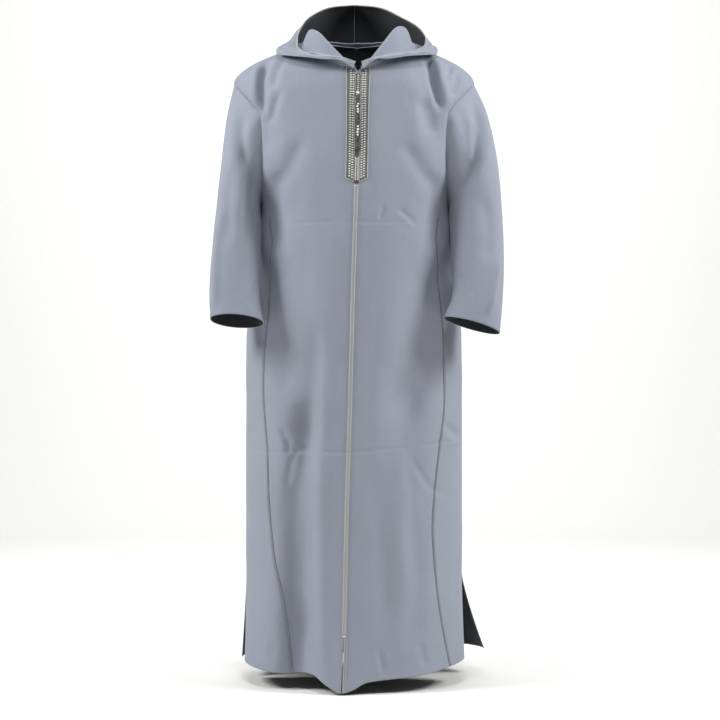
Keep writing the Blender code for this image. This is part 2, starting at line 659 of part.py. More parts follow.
def make_gore_braid(word, side):
    """The corded braid along a gore seam, laid over the front's edge of it."""
    rows = [row for row in BODY_ROWS if row < UNDERARM]

    def surface(across, along):
        row = row_between(rows, along)
        seam = smooth_row(GORE_SEAMS[side], row)[0]
        turn = turn_at(side, FRONT, row, side * (seam + (across - 0.5) * SEAM_CORD_WIDTH))
        lift = body_normal(side, FRONT, turn, row) * (CLOTH + GORE_BRAID_LIFT)
        return body_point(side, FRONT, turn, row) + lift

    sheet("gore_braid_" + word, surface, 1, len(rows) - 1, side == RIGHT, BRAID_COLOUR, TRIM)


def make_pocket_braid(word, side, face, face_word):
    """The braid on one lip of a pocket slit."""
    inside = [row for row in BODY_ROWS if POCKET_BOTTOM < row < POCKET_TOP]
    rows = [POCKET_BOTTOM + 0.004, *inside, POCKET_TOP - 0.004]

    def surface(across, along):
        row = row_between(rows, along)
        turn = 1 - POCKET_BRAID_INSET - POCKET_BRAID_TURN * across
        lift = body_normal(side, face, turn, row) * (CLOTH + POCKET_BRAID_LIFT)
        return body_point(side, face, turn, row) + lift

    flip = (side == LEFT) == (face == FRONT)
    sheet("pocket_braid_" + word + "_" + face_word, surface, 1, len(rows) - 1, flip, BRAID_COLOUR, TRIM)


# ---------------------------------------------------------------- build

for old in list(bpy.data.objects):
    bpy.data.objects.remove(old)
robe = bpy.data.collections.new("djellaba")
cutters = bpy.data.collections.new("cutters")
for collection in (robe, cutters):
    bpy.context.scene.collection.children.link(collection)

body = body_tree()
make_back()
for word, side in SIDES.items():
    make_front(word, side)
    make_gore(word, side)
    make_sleeve(word, side)
    make_hood(word, side, body)
    make_placket(word, side)
    make_zip_tape(word, side)
    make_gore_braid(word, side)
    make_pocket_braid(word, side, FRONT, "front")
    make_pocket_braid(word, side, BACK, "back")
make_centre_braid()
make_slit_braid()
make_slit_tack()
make_zip_slider()
make_zip_pull()
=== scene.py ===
import json
import math

import bmesh
import bpy
import numpy as np
from mathutils.bvhtree import BVHTree
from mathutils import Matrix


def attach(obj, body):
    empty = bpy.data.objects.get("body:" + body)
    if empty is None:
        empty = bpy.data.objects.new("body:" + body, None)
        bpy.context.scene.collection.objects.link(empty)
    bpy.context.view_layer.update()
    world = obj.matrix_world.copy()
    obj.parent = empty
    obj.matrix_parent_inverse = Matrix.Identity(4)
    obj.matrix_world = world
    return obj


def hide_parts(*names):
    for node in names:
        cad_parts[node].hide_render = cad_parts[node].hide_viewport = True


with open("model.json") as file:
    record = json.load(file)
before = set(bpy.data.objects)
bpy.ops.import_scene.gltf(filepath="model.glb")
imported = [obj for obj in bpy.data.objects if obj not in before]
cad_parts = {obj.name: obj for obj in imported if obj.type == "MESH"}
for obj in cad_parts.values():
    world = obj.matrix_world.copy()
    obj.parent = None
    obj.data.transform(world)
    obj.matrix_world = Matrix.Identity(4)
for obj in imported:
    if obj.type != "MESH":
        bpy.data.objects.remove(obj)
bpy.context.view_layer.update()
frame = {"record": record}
print("frame loaded")

# The garment faces -Y and the wearer's left is +X. Heights in the tables are above the floor.
right, left = -1, 1
front, back = -1, 1
shoulderHeight = 1.43
sideWord = {right: "Right", left: "Left"}
nodeWord = {right: "right", left: "left"}
faceSides = ((front, "front"), (back, "back"))


# tables, curves and noise

def readTable(table, key):
    # smooth monotone curve through the rows of a table, read at every key
    rows = np.array(table, float)
    knots, values = rows[:, 0], rows[:, 1:]
    key = np.clip(np.asarray(key, float), knots[0], knots[-1])
    low = np.clip(np.searchsorted(knots, key, side="left") - 1, 0, len(knots) - 2)
    span = knots[low + 1] - knots[low]
    part = ((key - knots[low]) / span)[..., None]
    rise = values[low + 1] - values[low]
    limit = 3 * np.abs(rise)

    def slopeBetween(first, last, inside):
        slope = (values[last] - values[first]) / (knots[last] - knots[first])[..., None] * span[..., None]
        slope = np.where(inside[..., None], slope, rise)
        return np.where(slope * rise > 0, np.clip(slope, -limit, limit), 0)

    slopeLow = slopeBetween(np.maximum(low - 1, 0), low + 1, low > 0)
    slopeHigh = slopeBetween(low, np.minimum(low + 2, len(knots) - 1), low < len(knots) - 2)
    square, cube = part ** 2, part ** 3
    found = (values[low] * (2 * cube - 3 * square + 1) + slopeLow * (cube - 2 * square + part)
             + values[low + 1] * (3 * square - 2 * cube) + slopeHigh * (cube - square))
    return np.moveaxis(found, -1, 0)


def softStep(value):
    value = np.clip(value, 0, 1)
    return value * value * (3 - 2 * value)


def softNoise(x, y, cell, seed):
    # smooth noise from -1 to 1 with bumps about one cell across
    count, shift = 97, 40
    grid = np.random.default_rng(seed).uniform(-1, 1, (count, count))
    x, y = np.asarray(x) / cell[0] + shift, np.asarray(y) / cell[1] + shift
    xLow, yLow = np.floor(x).astype(int), np.floor(y).astype(int)
    xPart, yPart = softStep(x - xLow), softStep(y - yLow)

    def corner(i, j):
        return grid[(yLow + j) % count, (xLow + i) % count]

    lower = corner(0, 0) * (1 - xPart) + corner(1, 0) * xPart
    upper = corner(0, 1) * (1 - xPart) + corner(1, 1) * xPart
    return lower * (1 - yPart) + upper * yPart


def unit(vectors):
    return vectors / np.maximum(np.linalg.norm(vectors, axis=-1, keepdims=True), 1e-12)


def relief(creases, x, height):
    # depth of the creases at each point; a crease is depth, width, bank and its path of x, height
    depth = np.zeros_like(x)
    for deepest, width, bank, path in creases:
        path = np.array(path)
        steps = np.linalg.norm(np.diff(path, axis=0), axis=1)
        total, done = steps.sum(), 0.0
        nearest = np.full_like(x, 1e9)
        along, signed = np.zeros_like(x), np.zeros_like(x)
        for start, end, step in zip(path[:-1], path[1:], steps):
            way = (end - start) / step
            reach = np.clip((x - start[0]) * way[0] + (height - start[1]) * way[1], 0, step)
            offX, offH = x - start[0] - way[0] * reach, height - start[1] - way[1] * reach
            distance = np.hypot(offX, offH)
            closer = distance < nearest
            nearest = np.where(closer, distance, nearest)
            along = np.where(closer, (done + reach) / total, along)
            signed = np.where(closer, offX * way[1] - offH * way[0], signed)
            done += step
        taper = softStep(np.minimum(along, 1 - along) / 0.3 + 0.08)
        side = np.sign(bank) if bank else 1
        trough = np.exp(-(nearest / width) ** 2)
        ridge = np.exp(-((signed * side - 1.8 * width) / (1.1 * width)) ** 2) * (nearest < 5 * width)
        depth += deepest * taper * (trough - abs(bank) * ridge)
    return depth


# the body's surface

body = dict(
    underarm=1.09, topRow=1.5, hemReach=0.3, gorePoint=0.05, cloth=0.002, edgeGap=0.00015,
    # row, centre line x, distance from it, y, height
    frontCentre=[
        (0, -0.027, 0.001, -0.228, 0), (0.126, -0.0217, 0.00015, -0.215, 0.126),
        (0.3, -0.018, 0.00015, -0.2, 0.3), (0.45, -0.0145, 0.00015, -0.19, 0.45),
        (0.65, -0.0085, 0.00015, -0.178, 0.65), (0.9, -0.002, 0.00015, -0.17, 0.9),
        (1.05, 0.003, 0.00015, -0.165, 1.05), (1.2, 0.007, 0.00015, -0.155, 1.2),
        (1.345, 0.009, 0.00015, -0.132, 1.345), (1.404, 0.01, 0.00015, -0.12, 1.404),
        (1.44, 0.008, 0.037, -0.093, 1.437), (1.475, 0.007, 0.068, -0.052, 1.468),
        (1.5, 0.007, 0.085, -0.005, 1.49),
    ],
    backCentre=[
        (0, 0, 0, 0.19, 0), (0.3, 0, 0, 0.17, 0.3),
        (0.6, 0, 0, 0.152, 0.6), (0.85, 0, 0, 0.15, 0.85),
        (1.1, 0, 0, 0.136, 1.1), (1.28, 0.003, 0, 0.142, 1.285),
        (1.4, 0.006, 0, 0.122, 1.415), (1.45, 0.007, 0, 0.084, 1.492),
        (1.475, 0.007, 0.055, 0.064, 1.494), (1.5, 0.007, 0.085, -0.004, 1.49),
    ],
    # row, half width, middle x, front y, back y, height
    sideEdge=[
        (0, 0.254, 0, 0, 0, 0), (0.24, 0.251, 0, 0, 0, 0.24),
        (0.5, 0.252, 0, 0, 0, 0.5), (0.8, 0.249, 0, 0.005, 0.005, 0.8),
        (0.88, 0.242, 0.001, 0.008, 0.008, 0.88), (0.95, 0.2265, 0.002, 0.008, 0.008, 0.95),
        (1.03, 0.2225, 0.003, 0.004, 0.004, 1.03), (1.09, 0.218, 0.003, 0, 0, 1.09),
        (1.2, 0.2115, 0.001, -0.058, 0.052, 1.17), (1.3, 0.21, 0, -0.078, 0.074, 1.255),
        (1.35, 0.215, 0, -0.079, 0.074, 1.308), (1.404, 0.229, 0, -0.066, 0.062, 1.334),
        (1.45, 0.252, 0, -0.04, 0.04, 1.36), (1.5, 0.281, 0, -0.0002, 0.0002, 1.394),
    ],
    # above slopeRow the rows run straighter, up to the slope of the shoulder line
    slopeRow=1.35, shoulderSlope=0.42,
    frontHem=[
        (-0.255, 0.045), (-0.155, 0.036), (-0.09, 0.038), (-0.06, 0.018), (-0.03, 0.002),
        (0, 0.01), (0.025, 0.024), (0.08, 0.03), (0.155, 0.036), (0.26, 0.056),
    ],
    backHem=[(-0.26, 0.045), (-0.15, 0.03), (0, 0.025), (0.15, 0.03), (0.26, 0.058)],
    sideSlitTop=0.236, sideSlits={right: (0.014, 0.009), left: (0.05, 0.054)},
    pocket=(0.85, 1.06, 0.007),
    goreSeams={
        right: [(0, 0.14), (0.105, 0.148), (0.2, 0.163), (0.29, 0.179), (0.4, 0.19),
                (0.54, 0.197), (0.65, 0.207), (0.9, 0.21), (1.01, 0.193), (1.09, 0.204)],
        left: [(0, 0.219), (0.115, 0.201), (0.225, 0.188), (0.36, 0.179), (0.45, 0.185),
               (0.545, 0.196), (0.65, 0.208), (0.9, 0.209), (1.01, 0.194), (1.09, 0.205)],
    },
    # broad folds: x and height of the top, of the bottom, half width, depth at top and bottom
    frontFolds=[
        (-0.085, 0.52, -0.125, -0.05, 0.045, 0, 0.062), (0.06, 0.3, 0.075, -0.05, 0.05, 0, 0.01),
        (-0.125, 0.92, -0.105, 0.58, 0.04, 0.004, 0.016), (-0.105, 0.58, -0.11, 0.3, 0.04, 0.016, 0.006),
        (-0.075, 0.7, -0.08, 0.1, 0.022, -0.004, -0.01), (0.145, 0.92, 0.12, 0.66, 0.042, 0.006, 0.016),
        (0.12, 0.66, 0.1, 0.42, 0.042, 0.016, 0), (-0.2, 1.42, -0.195, 1.26, 0.026, 0.012, 0.006),
        (0.155, 1.45, 0.185, 1.27, 0.026, 0.014, 0.006),
    ],
    backFolds=[
        (0.02, 1.2, 0.03, 0.05, 0.055, 0.002, 0.02), (-0.12, 1.1, -0.125, 0.05, 0.045, 0.004, 0.014),
        (0.15, 1, 0.16, 0.1, 0.045, 0.002, 0.012), (-0.05, 0.9, -0.045, 0.05, 0.035, -0.002, -0.01),
        (0.09, 0.8, 0.095, 0.05, 0.035, -0.002, -0.008),
    ],
)

frontCreases = [
    (0.0125, 0.0095, 0.4, [(-0.2, 1.462), (-0.212, 1.397), (-0.213, 1.35), (-0.207, 1.3)]),
    (0.005, 0.009, 0.3, [(-0.158, 1.45), (-0.177, 1.414), (-0.186, 1.365)]),
    (0.0055, 0.01, 0.3, [(-0.166, 1.372), (-0.18, 1.332), (-0.192, 1.285)]),
    (0.005, 0.0065, -0.3, [(-0.272, 1.385), (-0.259, 1.35), (-0.236, 1.3)]),
    (0.015, 0.01, -0.4, [(0.16, 1.465), (0.176, 1.429), (0.182, 1.39), (0.192, 1.353), (0.202, 1.31)]),
    (0.006, 0.008, 0.3, [(0.216, 1.458), (0.223, 1.436), (0.221, 1.4)]),
    (0.006, 0.0075, 0.3, [(0.24, 1.418), (0.237, 1.388), (0.226, 1.35)]),
    (0.007, 0.018, 0.2, [(0.154, 1.35), (0.18, 1.255)]),
    (0.0012, 0.003, 0.3, [(-0.155, 1.056), (-0.09, 1.058), (-0.028, 1.0573)]),
    (0.0011, 0.003, 0.3, [(-0.022, 1.0575), (0.07, 1.0573), (0.146, 1.06)]),
    (0.0022, 0.006, 0.4, [(0.069, 1.096), (0.058, 1.062)]),
    (0.0026, 0.0065, 0.4, [(0.097, 1.092), (0.145, 1.054)]),
    (0.0013, 0.0032, 0.3, [(-0.248, 0.537), (-0.18, 0.5355), (-0.11, 0.5365)]),
    (0.0012, 0.0032, 0.3, [(-0.116, 0.536), (-0.004, 0.537), (0.104, 0.546), (0.155, 0.55)]),
    (0.0018, 0.0045, 0.4, [(0.14, 0.55), (0.2, 0.556), (0.247, 0.563)]),
    (0.0026, 0.0065, 0.3, [(-0.162, 0.567), (-0.129, 0.541), (-0.09, 0.547)]),
    (0.003, 0.0085, -0.3, [(-0.125, 0.549), (-0.143, 0.514), (-0.155, 0.45)]),
    (0.006, 0.02, 0.2, [(-0.078, 0.86), (-0.085, 0.72), (-0.098, 0.61), (-0.108, 0.53), (-0.122, 0.47)]),
    (0.0045, 0.008, 0.3, [(-0.168, 0.592), (-0.15, 0.56), (-0.146, 0.525)]),
    (0.0026, 0.0085, 0.3, [(0.125, 0.53), (0.17, 0.458), (0.2, 0.44), (0.23, 0.422)]),
    (0.004, 0.01, 0.3, [(0.205, 0.6), (0.232, 0.575), (0.246, 0.56)]),
    (0.019, 0.036, 0.1, [(-0.222, 1), (-0.205, 0.9), (-0.18, 0.81), (-0.14, 0.64)]),
    (0.02, 0.036, -0.1, [(0.215, 1), (0.188, 0.9), (0.165, 0.8), (0.16, 0.64)]),
    (0.013, 0.03, 0.15, [(-0.118, 0.56), (-0.136, 0.4), (-0.134, 0.22), (-0.118, 0.02)]),
    (-0.007, 0.018, 0, [(-0.066, 0.72), (-0.071, 0.43), (-0.069, 0.2), (-0.064, 0)]),
    (0.006, 0.025, 0.15, [(0.05, 0.52), (0.062, 0.32), (0.08, 0.1)]),
    (0.0055, 0.024, 0.15, [(0.13, 0.43), (0.142, 0.26), (0.138, 0.06)]),
    (-0.005, 0.018, 0, [(0.104, 0.58), (0.106, 0.42), (0.112, 0.2)]),
    (0.006, 0.02, 0.2, [(-0.11, 1.26), (-0.15, 1.18), (-0.196, 1.13)]),
    (0.006, 0.02, -0.2, [(0.11, 1.25), (0.15, 1.18), (0.196, 1.13)]),
    (0.008, 0.022, 0.2, [(-0.18, 1.18), (-0.185, 1.08), (-0.175, 0.98)]),
    (0.008, 0.022, -0.2, [(0.19, 1.18), (0.192, 1.08), (0.18, 0.98)]),
    (0.003, 0.007, 0.3, [(-0.102, 0.11), (-0.094, 0.07), (-0.088, 0.03)]),
    (0.0028, 0.007, 0.3, [(0.056, 0.1), (0.066, 0.04)]),
    (0.0028, 0.008, 0.3, [(-0.18, 0.12), (-0.186, 0.06)]),
    (0.0028, 0.008, 0.3, [(0.15, 0.11), (0.16, 0.05)]),
]
backCreases = [
    (0.0014, 0.0032, 0.6, [(-0.21, 1.056), (-0.06, 1.058), (0.09, 1.056), (0.205, 1.059)]),
    (0.0014, 0.0032, 0.6, [(-0.245, 0.537), (-0.08, 0.54), (0.11, 0.538), (0.245, 0.545)]),
    (0.006, 0.015, 0.25, [(-0.07, 0.98), (-0.075, 0.76), (-0.06, 0.54)]),
    (0.0055, 0.014, -0.25, [(0.075, 0.94), (0.06, 0.7), (0.07, 0.48)]),
    (0.005, 0.016, 0.2, [(-0.165, 0.7), (-0.16, 0.48), (-0.175, 0.26)]),
    (0.005, 0.015, -0.2, [(0.12, 0.56), (0.125, 0.33), (0.115, 0.14)]),
    (0.004, 0.013, 0.25, [(-0.02, 0.47), (-0.028, 0.28), (-0.02, 0.11)]),
    (0.005, 0.011, 0.3, [(-0.175, 1.24), (-0.15, 1.15), (-0.1, 1.07)]),
    (0.005, 0.011, -0.3, [(0.178, 1.23), (0.15, 1.15), (0.105, 1.08)]),
    (0.006, 0.01, 0.3, [(-0.205, 1.36), (-0.196, 1.3), (-0.19, 1.22)]),
    (0.006, 0.01, -0.3, [(0.206, 1.37), (0.198, 1.3), (0.19, 1.23)]),
    (0.003, 0.006, 0.35, [(0.03, 0.57), (0.052, 0.545), (0.09, 0.54)]),
]


def broadFolds(folds, x, height):
    depth = np.zeros_like(x)
    for xTop, hTop, xBottom, hBottom, width, depthTop, depthBottom in folds:
        part = (hTop - height) / (hTop - hBottom)
        along = np.clip(part, 0, 1)
        fade = softStep(1 - np.minimum(1, np.abs(part - along) / 0.35))
        across = (x - xTop - (xBottom - xTop) * part) / width
        depth += (depthTop + (depthBottom - depthTop) * along) * fade * np.exp(-across ** 2)
    return depth


def sidePoint(side, face, row):
    halfWidth, middle, frontY, backY, height = readTable(body["sideEdge"], row)
    openingY, spread = body["sideSlits"][side]
    low, high, halfOpening = body["pocket"]
    share = np.clip(1 - row / body["sideSlitTop"], 0, 1)
    shiftY = body["edgeGap"] + openingY * share
    shiftX = spread * share ** 1.25 if face == back else 0 * share
    shiftY = shiftY + halfOpening * np.sin(np.pi * np.clip((row - low) / (high - low), 0, 1))
    y = (frontY if face == front else backY) + shiftY * face
    return middle + side * (halfWidth + shiftX), y, height


def centrePoint(side, face, row):
    centre, spread, y, height = readTable(body["frontCentre" if face == front else "backCentre"], row)
    return centre + side * spread, y, height


def bodyPoints(side, face, turn, row):
    turn, row = np.broadcast_arrays(np.asarray(turn, float), np.asarray(row, float))
    innerX, innerY, innerH = centrePoint(side, face, row)
    outerX, outerY, outerH = sidePoint(side, face, row)
    angle = turn * np.pi / 2
    x = innerX + (outerX - innerX) * np.sin(angle)
    y = outerY + (innerY - outerY) * np.cos(angle)
    overShoulder = np.maximum(0, (row - body["slopeRow"]) / (body["topRow"] - body["slopeRow"]))
    slope = body["shoulderSlope"] * overShoulder
    height = innerH + (outerH - innerH) * ((1 - np.cos(angle)) * (1 - slope) + np.sin(angle) * slope)
    edge = np.minimum(1, np.minimum((1 - turn) / 0.2, (body["topRow"] - row) / 0.08))
    folds = body["frontFolds" if face == front else "backFolds"]
    y = y - face * broadFolds(folds, x, height) * edge
    hem = readTable(body["frontHem" if face == front else "backHem"], x)[0]
    height = height + hem * np.clip(1 - row / body["hemReach"], 0, 1)
    return np.stack([x, y, height - shoulderHeight], -1)


def bodyNormals(side, face, turn, row):
    step = 0.004
    across = (bodyPoints(side, face, np.minimum(turn + step, 1), row)
              - bodyPoints(side, face, np.maximum(turn - step, 0), row))
    along = bodyPoints(side, face, turn, row + step) - bodyPoints(side, face, turn, row - step)
    normals = unit(np.cross(across, along))
    return normals * np.where(normals[..., 1:2] * face < 0, -1, 1)


def bodySurface(side, face, turn, row, lift=0.0):
    # the outer face of the body's cloth, with its creases, raised by lift
    turn, row = np.broadcast_arrays(np.asarray(turn, float), np.asarray(row, float))
    points, normals = bodyPoints(side, face, turn, row), bodyNormals(side, face, turn, row)
    x, height = points[..., 0], points[..., 2] + shoulderHeight
    depth = relief(frontCreases if face == front else backCreases, x, height)
    # a broad and a fine ripple, and nothing at the seams
    depth = depth + 0.0011 * softNoise(x, height, (0.05, 0.16), 3 + face)
    depth = depth + 0.0005 * softNoise(x, height, (0.018, 0.05), 8)
    seam = np.minimum((1 - turn) / 0.06, np.minimum((row + 0.01) / 0.02, (body["topRow"] - row) / 0.03))
    depth = depth * softStep(seam)
    return points + normals * (body["cloth"] + lift - depth)[..., None], normals


def turnAt(side, face, row, x):
    inner, outer = centrePoint(side, face, row)[0], sidePoint(side, face, row)[0]
    return np.arcsin(np.clip((x - inner) / (outer - inner), 0, 1)) * 2 / np.pi


def goreTurn(side, row, shift):
    seam = readTable(body["goreSeams"][side], row)[0]
    return turnAt(side, front, row, side * (seam + shift))


def frontEdge(side, row, shift):
    # where a front ends: at the gore seam, and above the underarm at the armhole
    seam = goreTurn(side, np.minimum(row, body["underarm"]), shift)
    return seam + (1 - seam) * np.clip((row - body["underarm"]) / body["gorePoint"], 0, 1)


def frontAt(side, distance, row, lift):
    # a place on the front, at a distance from its centre line
    distance, row = np.broadcast_arrays(np.asarray(distance, float), np.asarray(row, float))
    inner = centrePoint(side, front, row)[0]
    return bodySurface(side, front, turnAt(side, front, row, inner + side * distance), row, lift)


def bodyLine(side, face, turn, lift):
    # a line up the body at one turn
    return lambda row: bodySurface(side, face, turn + 0 * row, row, lift)


def lineOnFront(side, distance, lift):
    return lambda row: frontAt(side, distance, row, lift)


def goreLine(side, shift, lift):
    return lambda row: bodySurface(side, front, goreTurn(side, row, shift), row, lift)


# materials

def addNode(tree, kind, inputs=(), **settings):
    # an input is a value, or a socket to link; the nodes stand in one row
    node = tree.nodes.new(kind)
    node.location = (220 * len(tree.nodes), 0)
    for name, value in settings.items():
        setattr(node, name, value)
    for name, value in dict(inputs).items():
        if isinstance(value, bpy.types.NodeSocket):
            tree.links.new(value, node.inputs[name])
        else:
            node.inputs[name].default_value = value
    return node


def addMaths(tree, operation, *values):
    return addNode(tree, "ShaderNodeMath", dict(enumerate(values)), operation=operation).outputs[0]


def newGroup(name, inputs, outputs):
    group = bpy.data.node_groups.new(name, "ShaderNodeTree")
    for socket, kind, value in inputs:
        made = group.interface.new_socket(socket, in_out="INPUT", socket_type=kind)
        made.default_value = value
    for socket, kind in outputs:
        group.interface.new_socket(socket, in_out="OUTPUT", socket_type=kind)
    return group, addNode(group, "NodeGroupInput").outputs, addNode(group, "NodeGroupOutput").inputs


def makeWeaveGroup():
    # twill weave on a UV map in metres: a height, and a mask of the raised threads
    group, given, made = newGroup(
        "twillWeave", [("Thread", "NodeSocketFloat", 0.0008), ("Slub", "NodeSocketFloat", 0.3)],
        [(name, "NodeSocketFloat") for name in ("Height", "Threads", "Streaks")])
    cut = addNode(group, "ShaderNodeUVMap", uv_map="cut").outputs[0]
    split = addNode(group, "ShaderNodeSeparateXYZ", {0: cut})
    across, along = [addMaths(group, "DIVIDE", split.outputs[axis], given["Thread"]) for axis in (0, 1)]
    warp = addMaths(group, "SINE", addMaths(group, "MULTIPLY", across, 2 * math.pi))
    diagonal = addMaths(group, "MULTIPLY", addMaths(group, "ADD", across, along), math.pi)
    crossing = addMaths(group, "MULTIPLY", warp, addMaths(group, "SINE", diagonal))
    height = addMaths(group, "MULTIPLY_ADD", crossing, 0.35, 0.5)
    stretched = addNode(group, "ShaderNodeMapping", {"Vector": cut, "Scale": (900, 45, 1)}).outputs[0]
    noise = addNode(group, "ShaderNodeTexNoise", {"Vector": stretched, "Scale": 1.0, "Detail": 4.0})
    slub = addMaths(group, "MULTIPLY", noise.outputs["Fac"], given["Slub"])
    group.links.new(addMaths(group, "ADD", height, slub), made["Height"])
    group.links.new(height, made["Threads"])
    group.links.new(noise.outputs["Fac"], made["Streaks"])
    return group


def makeToneGroup():
    # a colour with soft clouds and streaks of lighter and darker tone
    group, given, made = newGroup(
        "clothTone", [("Colour", "NodeSocketColor", (0.3, 0.35, 0.45, 1)), ("Streaks", "NodeSocketFloat", 0.5),
                      ("Threads", "NodeSocketFloat", 0.5)],
        [("Colour", "NodeSocketColor")])
    place = addNode(group, "ShaderNodeTexCoord").outputs["Object"]
    cloud = addNode(group, "ShaderNodeTexNoise", {"Vector": place, "Scale": 6.0, "Detail": 3.0})

    def mapped(source, low, high):
        ends = {"From Min": 0.25, "From Max": 0.75, "To Min": low, "To Max": high}
        return addNode(group, "ShaderNodeMapRange", {"Value": source, **ends}).outputs["Result"]

    streaks, threads = mapped(given["Streaks"], 0.95, 1.05), mapped(given["Threads"], 0.93, 1.05)
    clouds = mapped(cloud.outputs["Fac"], 0.965, 1.035)
    tone = addMaths(group, "MULTIPLY", addMaths(group, "MULTIPLY", streaks, threads), clouds)
    scaled = addNode(group, "ShaderNodeVectorMath", {0: given["Colour"], "Scale": tone}, operation="SCALE")
    group.links.new(scaled.outputs[0], made["Colour"])
    return group


weaveGroup = makeWeaveGroup()
toneGroup = makeToneGroup()


def newMaterial(name, colour, values):
    made = bpy.data.materials.new(name)
    made.use_nodes = True
    made.diffuse_color = (*colour, 1)
    shader = made.node_tree.nodes["Principled BSDF"]
    for socket, value in values.items():
        shader.inputs[socket].default_value = value
    return made, made.node_tree, shader


def linkShader(tree, shader, colour, height, strength, distance):
    raised = addNode(tree, "ShaderNodeBump", {"Height": height, "Strength": strength, "Distance": distance})
    tree.links.new(colour, shader.inputs["Base Color"])
    tree.links.new(raised.outputs["Normal"], shader.inputs["Normal"])


def makeCloth(name, colour, thread, slub, sheen, bump):
    values = {"Roughness": 0.82, "Sheen Weight": sheen, "Sheen Roughness": 0.45, "Specular IOR Level": 0.25}
    made, tree, shader = newMaterial(name, colour, values)
    weave = addNode(tree, "ShaderNodeGroup", node_tree=weaveGroup)
    weave.inputs["Thread"].default_value, weave.inputs["Slub"].default_value = thread, slub
    tone = addNode(tree, "ShaderNodeGroup", node_tree=toneGroup)
    tone.inputs["Colour"].default_value = (*colour, 1)
    for socket in ("Streaks", "Threads"):
        tree.links.new(weave.outputs[socket], tone.inputs[socket])
    linkShader(tree, shader, tone.outputs["Colour"], weave.outputs["Height"], bump, 0.0004)
    return made


def makeThread(name, colour, rough, sheen=0.2, metallic=0.0, grain=900.0, strength=0.25, spread=0.12):
    values = {"Roughness": rough, "Metallic": metallic, "Sheen Weight": sheen}
    made, tree, shader = newMaterial(name, colour, values)
    place = addNode(tree, "ShaderNodeTexCoord").outputs["Object"]
    noise = addNode(tree, "ShaderNodeTexNoise", {"Vector": place, "Scale": grain, "Detail": 2.0}).outputs["Fac"]
    darker = (*[channel * (1 - spread) for channel in colour], 1)
    lighter = (*[min(1, channel * (1 + spread)) for channel in colour], 1)
    mixed = addNode(tree, "ShaderNodeMix", {0: noise, 6: darker, 7: lighter}, data_type="RGBA").outputs[2]
    linkShader(tree, shader, mixed, noise, strength, 0.0003)
    return made


clothColour = (0.265, 0.288, 0.345)
cloth = makeCloth("robeCloth", clothColour, 0.0009, 0.35, 0.12, 0.45)
# the inside faces of the cloth: a near-black painted shade that stands for the shade deep inside the hood, the
# cuffs and the slits
paintedShadeInside = makeCloth("robeInsidePaintedShade", (0.040, 0.043, 0.050), 0.0009, 0.35, 0.10, 0.45)
placketCloth = makeCloth("placketGround", (0.150, 0.152, 0.135), 0.0007, 0.2, 0.2, 0.8)
tapeCloth = makeCloth("zipTape", (0.110, 0.110, 0.090), 0.0006, 0.2, 0.1, 0.8)
braidThread = makeThread("braidThread", (0.37, 0.37, 0.36), 0.55, 0.4)
paleThread = makeThread("paleThread", (0.66, 0.66, 0.64), 0.45, 0.4)
darkThread = makeThread("darkThread", (0.050, 0.052, 0.060), 0.7)
clothThread = makeThread("clothThread", (0.24, 0.28, 0.36), 0.7)
toothMetal = makeThread("zipTeeth", (0.62, 0.60, 0.52), 0.35, 0.0, 0.6, 300.0, 0.1, 0.06)
sliderMetal = makeThread("sliderMetal", (0.45, 0.45, 0.44), 0.28, 0.0, 1.0, 400.0, 0.08, 0.10)
pullBacking = makeThread("pullBacking", (0.018, 0.018, 0.020), 0.5)
darkBead = makeThread("darkBeads", (0.100, 0.102, 0.100), 0.25, 0.0, 0.0, 260.0, 0.02, 0.75)
whiteBead = makeThread("whiteBeads", (0.80, 0.80, 0.78), 0.22, 0.0, 0.0, 120.0, 0.02, 0.05)
print("materials made")


# making cloth sheets

clothThickness = 0.0018


def arcLengths(points, axis):
    steps = np.linalg.norm(np.diff(points, axis=axis), axis=-1)
    return steps.mean(axis=1 - axis)


def quadCorners(grid, axis):
    return np.stack([grid[:-1, :-1], grid[:-1, 1:], grid[1:, 1:], grid[1:, :-1]], axis)


def meshFromGrid(name, points, flip, closed=False, slots=None):
    rows, columns = points.shape[:2]
    index = np.arange(rows * columns).reshape(rows, columns)
    if closed:
        index = np.concatenate([index[:, :-1], index[:, :1]], axis=1)
    quads = quadCorners(index, -1).reshape(-1, 4)
    u, v = [np.concatenate([[0], np.cumsum(arcLengths(points, axis))]) for axis in (1, 0)]
    uvs = quadCorners(np.stack(np.meshgrid(u, v), -1), 2).reshape(-1, 4, 2)
    if flip:
        quads, uvs = quads[:, ::-1], uvs[:, ::-1]
    mesh = bpy.data.meshes.new(name)
    mesh.from_pydata(points.reshape(-1, 3).tolist(), [], quads.tolist())
    layer = mesh.uv_layers.new(name="cut")
    layer.data.foreach_set("uv", uvs.reshape(-1).astype(np.float32))
    if slots is not None:
        mesh.polygons.foreach_set("material_index", slots.reshape(-1).astype(np.int32))
    if closed:
        cleaned = bmesh.new()
        cleaned.from_mesh(mesh)
        loose = [vertex for vertex in cleaned.verts if not vertex.link_faces]
        bmesh.ops.delete(cleaned, geom=loose, context="VERTS")
        cleaned.to_mesh(mesh)
        cleaned.free()
    mesh.shade_smooth()
    return mesh, (float(u[-1]), float(v[-1]))


def gridArea(points):
    across = points[:-1, 1:] - points[:-1, :-1]
    along = points[1:, :-1] - points[:-1, :-1]
    return float(np.linalg.norm(np.cross(across, along), axis=-1).sum())


def newObject(name, mesh, materials):
    made = bpy.data.objects.new(name, mesh)
    bpy.context.scene.collection.objects.link(made)
    for material in materials:
        mesh.materials.append(material)
    return made


def thicken(piece, thickness, innerSlot=0):
    wall = piece.modifiers.new("wall", "SOLIDIFY")
    wall.thickness = thickness
    wall.offset = -1.0
    # the inner shell takes the next material slot: where a sheet has one, the dark inside material with its
    # painted shade
    wall.material_offset = innerSlot
    wall.use_rim = True


